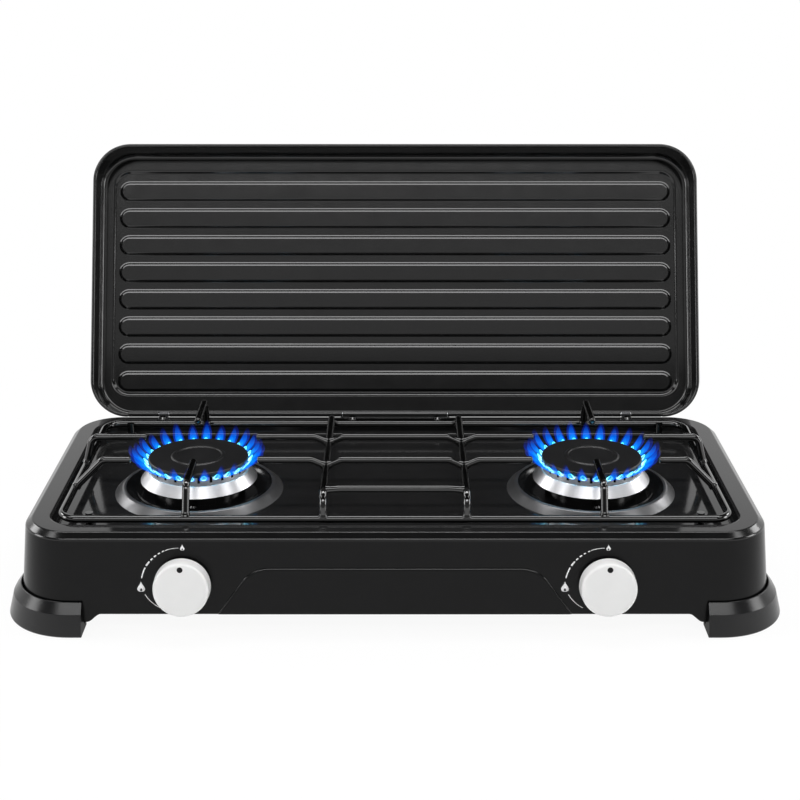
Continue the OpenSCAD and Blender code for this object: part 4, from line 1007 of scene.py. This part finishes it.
# Flames: layer, reach outward, rise, half width, curl, start below the ring's top, material
FLAME_LAYERS = [
    ("core", 0, 0, 0, 0, 0,
     flame_shader("flame_core", (0.38, 0.88, 1.0), (0.06, 0.60, 1.0), (4.5, 3.0), (0.85, 0.5))),
    ("middle", 8.0, 8.5, 2.6, 1.8, 2.0,
     flame_shader("flame_middle", (0.04, 0.55, 1.0), (0.0, 0.25, 1.0), (1.7, 1.4), (0.5, 0.0))),
    ("tongue", 12.0, 14.5, 3.5, 2.0, 2.2,
     flame_shader("flame_tongue", (0.0, 0.30, 1.0), (0.0, 0.10, 1.0), (1.8, 1.4), (0.5, 0.0))),
    ("veil", 14.0, 16.6, 5.0, 2.1, 2.2,
     flame_shader("flame_veil", (0.0, 0.10, 1.0), (0.0, 0.03, 0.9), (1.5, 1.0), (0.24, 0.0))),
]


# Scatter of the flames' places, as shares of the pitch, and of their sizes
FLAME_SHIFT = 0.4
FLAME_SCATTER = 0.1
FLAME_SIZE_LOW = 0.9
FLAME_SIZE_SPREAD = 0.2
# Bright loop at a port: half width, half height, tube radius, place outside and above the ring
LOOP_W = 1.9
LOOP_H = 3.0
LOOP_R = 0.48
LOOP_OUT = 2.2
LOOP_UP = 0.5


def build_flames(side, name):
    """Row of flames: a bright loop at each port inside longer and fainter blue tongues."""
    x, y = side * BURNER_X, BURNER_Y
    root = HEAD_Z + HEAD_H
    up = Vector((0, 0, 1))

    def directions(a):
        return Vector((math.cos(a), math.sin(a), 0)), Vector((-math.sin(a), math.cos(a), 0))

    def tongue(bm, marks, a, reach, rise, width, curl, start_z):
        out, across = directions(a)
        steps, n = 12, 10
        rows = []
        for i in range(steps + 1):
            t = i / steps
            r = HEAD_R - 0.6 + reach * (1 - (1 - t) ** curl)
            z = start_z + rise * t ** 1.25
            fat = width * (math.sin(math.pi * min(1, t * 0.86 + 0.14)) ** 0.8) * (1 - 0.35 * t) + 0.05
            centre = Vector((x, y, 0)) + out * r + Vector((0, 0, z))
            slope = up * 0.8 - out * 0.6 * (1 - t)
            lift = (slope - across * slope.dot(across)).normalized()
            row = []
            for k in range(n):
                b = 2 * math.pi * k / n
                ray = across * math.cos(b) + lift.cross(across) * math.sin(b)
                row.append(bm.verts.new(centre + ray * fat))
                marks.append(t)
            rows.append(row)
        grid_faces(bm, rows, False, True)
        bm.faces.new(rows[0])
        bm.faces.new(list(reversed(rows[-1])))

    def loop(bm, marks, a, size):
        out, across = directions(a)
        rise = (up * 0.8 + out * 0.6).normalized()
        centre = Vector((x, y, root + LOOP_UP)) + out * (HEAD_R + LOOP_OUT)
        rows = []
        for i in range(20):
            b = 2 * math.pi * i / 20
            side_way = across * (LOOP_W * math.cos(b) * (1 - 0.35 * math.sin(b)))
            spot = centre + (side_way + rise * (LOOP_H * math.sin(b))) * size
            ray = (across * math.cos(b) + rise * math.sin(b)).normalized()
            row = []
            for k in range(6):
                c = 2 * math.pi * k / 6
                away = ray * math.cos(c) + ray.cross(out).cross(ray) * math.sin(c)
                row.append(bm.verts.new(spot + away * LOOP_R))
                marks.append((math.sin(b) + 1) / 2)
            rows.append(row)
        grid_faces(bm, rows, True, True)

    spots = []
    for i in range(PORT_N):
        a = 2 * math.pi * (i + FLAME_SHIFT + FLAME_SCATTER * (random.random() - 0.5)) / PORT_N
        spots.append((a, FLAME_SIZE_LOW + FLAME_SIZE_SPREAD * random.random()))
    for layer, reach, rise, width, curl, drop, material in FLAME_LAYERS:
        bm, marks = bmesh.new(), []
        for a, size in spots:
            if layer == "core":
                loop(bm, marks, a, size)
            else:
                tongue(bm, marks, a, reach * size, rise * size, width, curl, root - drop)
        obj = make("flame_" + layer + "_" + name, bm, "base", material, weighted=False)
        obj.visible_diffuse = layer != "veil"
        obj.visible_glossy = layer in ("core", "middle")
        mark = obj.data.attributes.new("along", "FLOAT", "POINT")
        mark.data.foreach_set("value", marks)


# Knobs and dials

def build_knob(side, name):
    """Hollow white knob with a soft rim, and its pointer dot."""
    place = on_panel(side * BURNER_X)
    top, roof = KNOB_BASE + KNOB_H, KNOB_BASE + KNOB_H - KNOB_ROOF
    inner = KNOB_BASE_R - KNOB_WALL
    bm = bmesh.new()
    profile = [(0.0, roof), (KNOB_FACE_R - KNOB_WALL - 1, roof), (inner, KNOB_BASE + 0.3)]
    profile += [(inner + 0.3, KNOB_BASE), (KNOB_BASE_R - 0.4, KNOB_BASE), (KNOB_BASE_R, KNOB_BASE + 0.4)]
    profile += [(KNOB_BASE_R - 0.1, KNOB_BASE + 1.5)]
    profile += arc(KNOB_FACE_R - KNOB_SOFT, top - KNOB_SOFT, KNOB_SOFT, 5, 84, 9)
    profile += [(KNOB_FACE_R - 5, top - 0.02), (KNOB_FACE_R - 12, top), (0.0, top)]
    lathe(bm, profile, 96)
    weld(bm)
    make("knob_shell_" + name, bm, "knob_" + name, KNOB, "knob_" + name, place)
    bm = bmesh.new()
    face, foot = top + DOT_PROUD, top - DOT_DEEP
    profile = [(0.0, face), (DOT_R - 0.2, face), (DOT_R, top - 0.1), (DOT_R, foot), (0.0, foot)]
    lathe(bm, profile, 32, 0, DOT_UP)
    weld(bm)
    make("knob_dot_" + name, bm, "knob_" + name, DOT, matrix=place)


# Printed dial: its line as (degrees, radius) and its strokes as (from, to, width at both ends, steps)
DIAL_LINE = (
    (90, 28.2), (117, 29.3), (138, 30.0), (155, 30.8), (171, 31.2), (185, 31.2), (195, 30.0), (228, 25.7),
)
DIAL_STROKES = (
    (95, 115.5, 0.3, 0.55, 14),
    (117, 120.5, 0.8, 0.9, 6),
    (124, 127.5, 0.9, 1.0, 6),
    (130.5, 134.5, 1.0, 1.1, 6),
    (137.5, 141.5, 1.1, 1.2, 6),
    (144, 152, 1.2, 1.4, 6),
    (155, 171.5, 1.1, 0.8, 10),
    (196, 227, 0.55, 0.35, 14),
)
# Small and large flame: degrees, radius, size, and the size and drop of the dark spot in it
DIAL_FLAMES = ((89.4, 28.3, 4.6, 1.6, -0.9), (185, 31.6, 8.0, 2.6, -1.7))
# Right half of a flame mark of size 1
FLAME_HALF = (
    (0.0, 0.6), (0.05, 0.46), (0.13, 0.3), (0.26, 0.12), (0.35, -0.06), (0.36, -0.2), (0.29, -0.34),
    (0.16, -0.4),
)
PRINT_LIFT = 0.06
SPOT_LIFT = 0.1
PRINT_SINK = 0.05


def build_dial(side, name):
    """Printed dial: two flames, dashes that thicken between them and a thin arc below."""
    bm = bmesh.new()

    def radius_at(angle):
        for (a, r), (b, q) in zip(DIAL_LINE, DIAL_LINE[1:]):
            if angle <= b:
                return r + (q - r) * (angle - a) / (b - a)
        return DIAL_LINE[-1][1]

    def patch(points, lift, index):
        low = [bm.verts.new((px, py, -PRINT_SINK)) for px, py in points]
        high = [bm.verts.new((px, py, lift)) for px, py in points]
        for f in [bm.faces.new(high)] + grid_faces(bm, [low, high], False, True):
            f.material_index = index

    def stroke(a0, a1, w0, w1, n):
        inner, outer = [], []
        for i in range(n + 1):
            t = i / n
            angle = a0 + (a1 - a0) * t
            a, w, r = math.radians(angle), w0 + (w1 - w0) * t, radius_at(angle)
            inner.append(((r - w / 2) * math.cos(a), (r - w / 2) * math.sin(a)))
            outer.append(((r + w / 2) * math.cos(a), (r + w / 2) * math.sin(a)))
        patch(outer + list(reversed(inner)), PRINT_LIFT, 0)

    def flame(angle, r, size, drop, lift, index):
        a = math.radians(angle)
        cx, cy = r * math.cos(a), r * math.sin(a) + drop
        shape = list(FLAME_HALF) + [(-u, v) for u, v in reversed(FLAME_HALF[1:])]
        patch([(cx + size * u, cy + size * v) for u, v in shape], lift, index)

    for angle, r, size, spot_size, spot_drop in DIAL_FLAMES:
        flame(angle, r, size, 0.0, PRINT_LIFT, 0)
        flame(angle, r, spot_size, spot_drop, SPOT_LIFT, 1)
    for values in DIAL_STROKES:
        stroke(*values)
    place = on_panel(side * BURNER_X)
    make("dial_" + name, bm, "base", [PRINT, DOT], matrix=place, weighted=False)


build_body()
build_front_press()
for sy, row_name in ((-1, "front"), (1, "rear")):
    for sx, side_name in SIDES:
        build_foot(sx, sy, "foot_" + row_name + "_" + side_name)
build_lid_sheet()
build_lid_edge()
build_grate_frame()
build_grate_bars()
for side, side_name in SIDES:
    build_grate_fingers(side, side_name)
for side, side_name in SIDES:
    build_collar(side * BURNER_X, side_name)
    build_head(side * BURNER_X, side_name)
    build_cap(side * BURNER_X, side_name)
    build_flames(side, side_name)
    build_knob(side, side_name)
    build_dial(side, side_name)


# Floor, world, lights and camera

def floor_material():
    """White where it is seen, straight or mirrored, with a faint shade near the stove; else pale."""
    mat, nodes, links, mix, glow = mixed_material("floor")
    pale = nodes.new("ShaderNodeBsdfDiffuse")
    pale.inputs["Color"].default_value = (0.93, 0.93, 0.93, 1)
    links.new(pale.outputs["BSDF"], mix.inputs[1])
    where = nodes.new("ShaderNodeTexCoord")
    length = nodes.new("ShaderNodeVectorMath")
    length.operation = "LENGTH"
    links.new(where.outputs["Object"], length.inputs[0])
    far = link_range(nodes, links, length.outputs["Value"], 0.93, 1.0, 0.32, 0.62)
    rays = nodes.new("ShaderNodeLightPath").outputs
    seen = link_math(nodes, links, "MAXIMUM", rays["Is Camera Ray"], rays["Is Glossy Ray"])
    seen = link_math(nodes, links, "MAXIMUM", seen, rays["Is Transmission Ray"])
    links.new(link_math(nodes, links, "MULTIPLY", far, seen), mix.inputs["Fac"])
    return mat


def build_floor():
    """Wide round floor, just below the feet."""
    bm = bmesh.new()
    lathe(bm, [(r, 0.0) for r in (0.0, 400, 1200, 4000, 12000)], 96)
    weld(bm)
    bmesh.ops.recalc_face_normals(bm, faces=bm.faces[:])
    floor = link_mesh("floor", bm)
    floor.location.z = -0.0002
    floor.data.materials.append(floor_material())


def build_world():
    """White room behind the stove and low down, dim overhead and on the camera's side."""
    world = bpy.data.worlds.new("studio")
    bpy.context.scene.world = world
    world.use_nodes = True
    nodes, links = world.node_tree.nodes, world.node_tree.links
    nodes.clear()
    out = nodes.new("ShaderNodeOutputWorld")
    where = nodes.new("ShaderNodeTexCoord")
    parts = nodes.new("ShaderNodeSeparateXYZ")
    links.new(where.outputs["Generated"], parts.inputs["Vector"])
    height = nodes.new("ShaderNodeValToRGB")
    white, dim = height.color_ramp.elements
    white.position, dim.position = 0.38, 0.50
    white.color, dim.color = (1, 1, 1, 1), (0.12, 0.12, 0.12, 1)
    links.new(parts.outputs["Z"], height.inputs["Fac"])
    sky = nodes.new("ShaderNodeBackground")
    links.new(height.outputs["Color"], sky.inputs["Color"])
    behind = link_range(nodes, links, parts.outputs["Y"], 0.3, 1.0, -0.05, 0.35)
    low = link_range(nodes, links, parts.outputs["Z"], 1.0, 0.0, 0.05, 0.10)
    links.new(link_math(nodes, links, "MAXIMUM", behind, low), sky.inputs["Strength"])
    links.new(sky.outputs["Background"], out.inputs["Surface"])


def softbox(name, place, aim, size, power):
    """Rectangular lamp at a place in metres, aimed at a point."""
    data = bpy.data.lights.new(name, "AREA")
    data.shape = "RECTANGLE"
    data.size, data.size_y = size
    data.energy = power
    lamp = link_object(name, data)
    lamp.location = place
    lamp.rotation_mode = "QUATERNION"
    lamp.rotation_quaternion = (Vector(aim) - Vector(place)).to_track_quat("-Z", "Y")


# Places and sizes of the lamps in metres, power in watts
BURNERS_AT = (0, 0.0, 0.09)
build_floor()
build_world()
softbox("key", (0.0, -1.98, 2.25), (0, 0.21, 0.2), (3.6, 0.48), 36)
softbox("front", (0.0, -1.9, 1.53), (0, 0.2, 0.2), (2.8, 0.52), 2.4)
softbox("top", (0.0, 0.4, 2.1), BURNERS_AT, (2.4, 0.40), 25)
for way, _ in SIDES:
    softbox("side", (way * 2.0, -0.3, 0.6), BURNERS_AT, (0.6, 0.8), 10)
    softbox("wing", (way * 1.5, -0.35, 1.9), BURNERS_AT, (0.6, 0.5), 3.5)
    softbox("rear", (way * 1.75, 0.85, 1.1), BURNERS_AT, (0.9, 0.45), 8)

# Camera fitted to the photograph, with its focal length and shift in the picture's pixels
PICTURE_PX = 800
FOCAL_PX = 1565.1
SHIFT_PX = 5.0
SENSOR_MM = 36.0
CAMERA_AT = (0.0, -1.2002, 0.5526)
CAMERA_PITCH = math.radians(19.07)
camera_data = bpy.data.cameras.new("camera")
camera_data.sensor_width = SENSOR_MM
camera_data.lens = FOCAL_PX / PICTURE_PX * SENSOR_MM
camera_data.shift_x = SHIFT_PX / PICTURE_PX
camera_data.clip_start, camera_data.clip_end = 0.05, 60
camera = link_object("camera", camera_data)
camera.location = CAMERA_AT
camera.rotation_euler = (math.pi / 2 - CAMERA_PITCH, 0, 0)
bpy.context.scene.camera = camera
bpy.context.scene.view_settings.view_transform = "Standard"
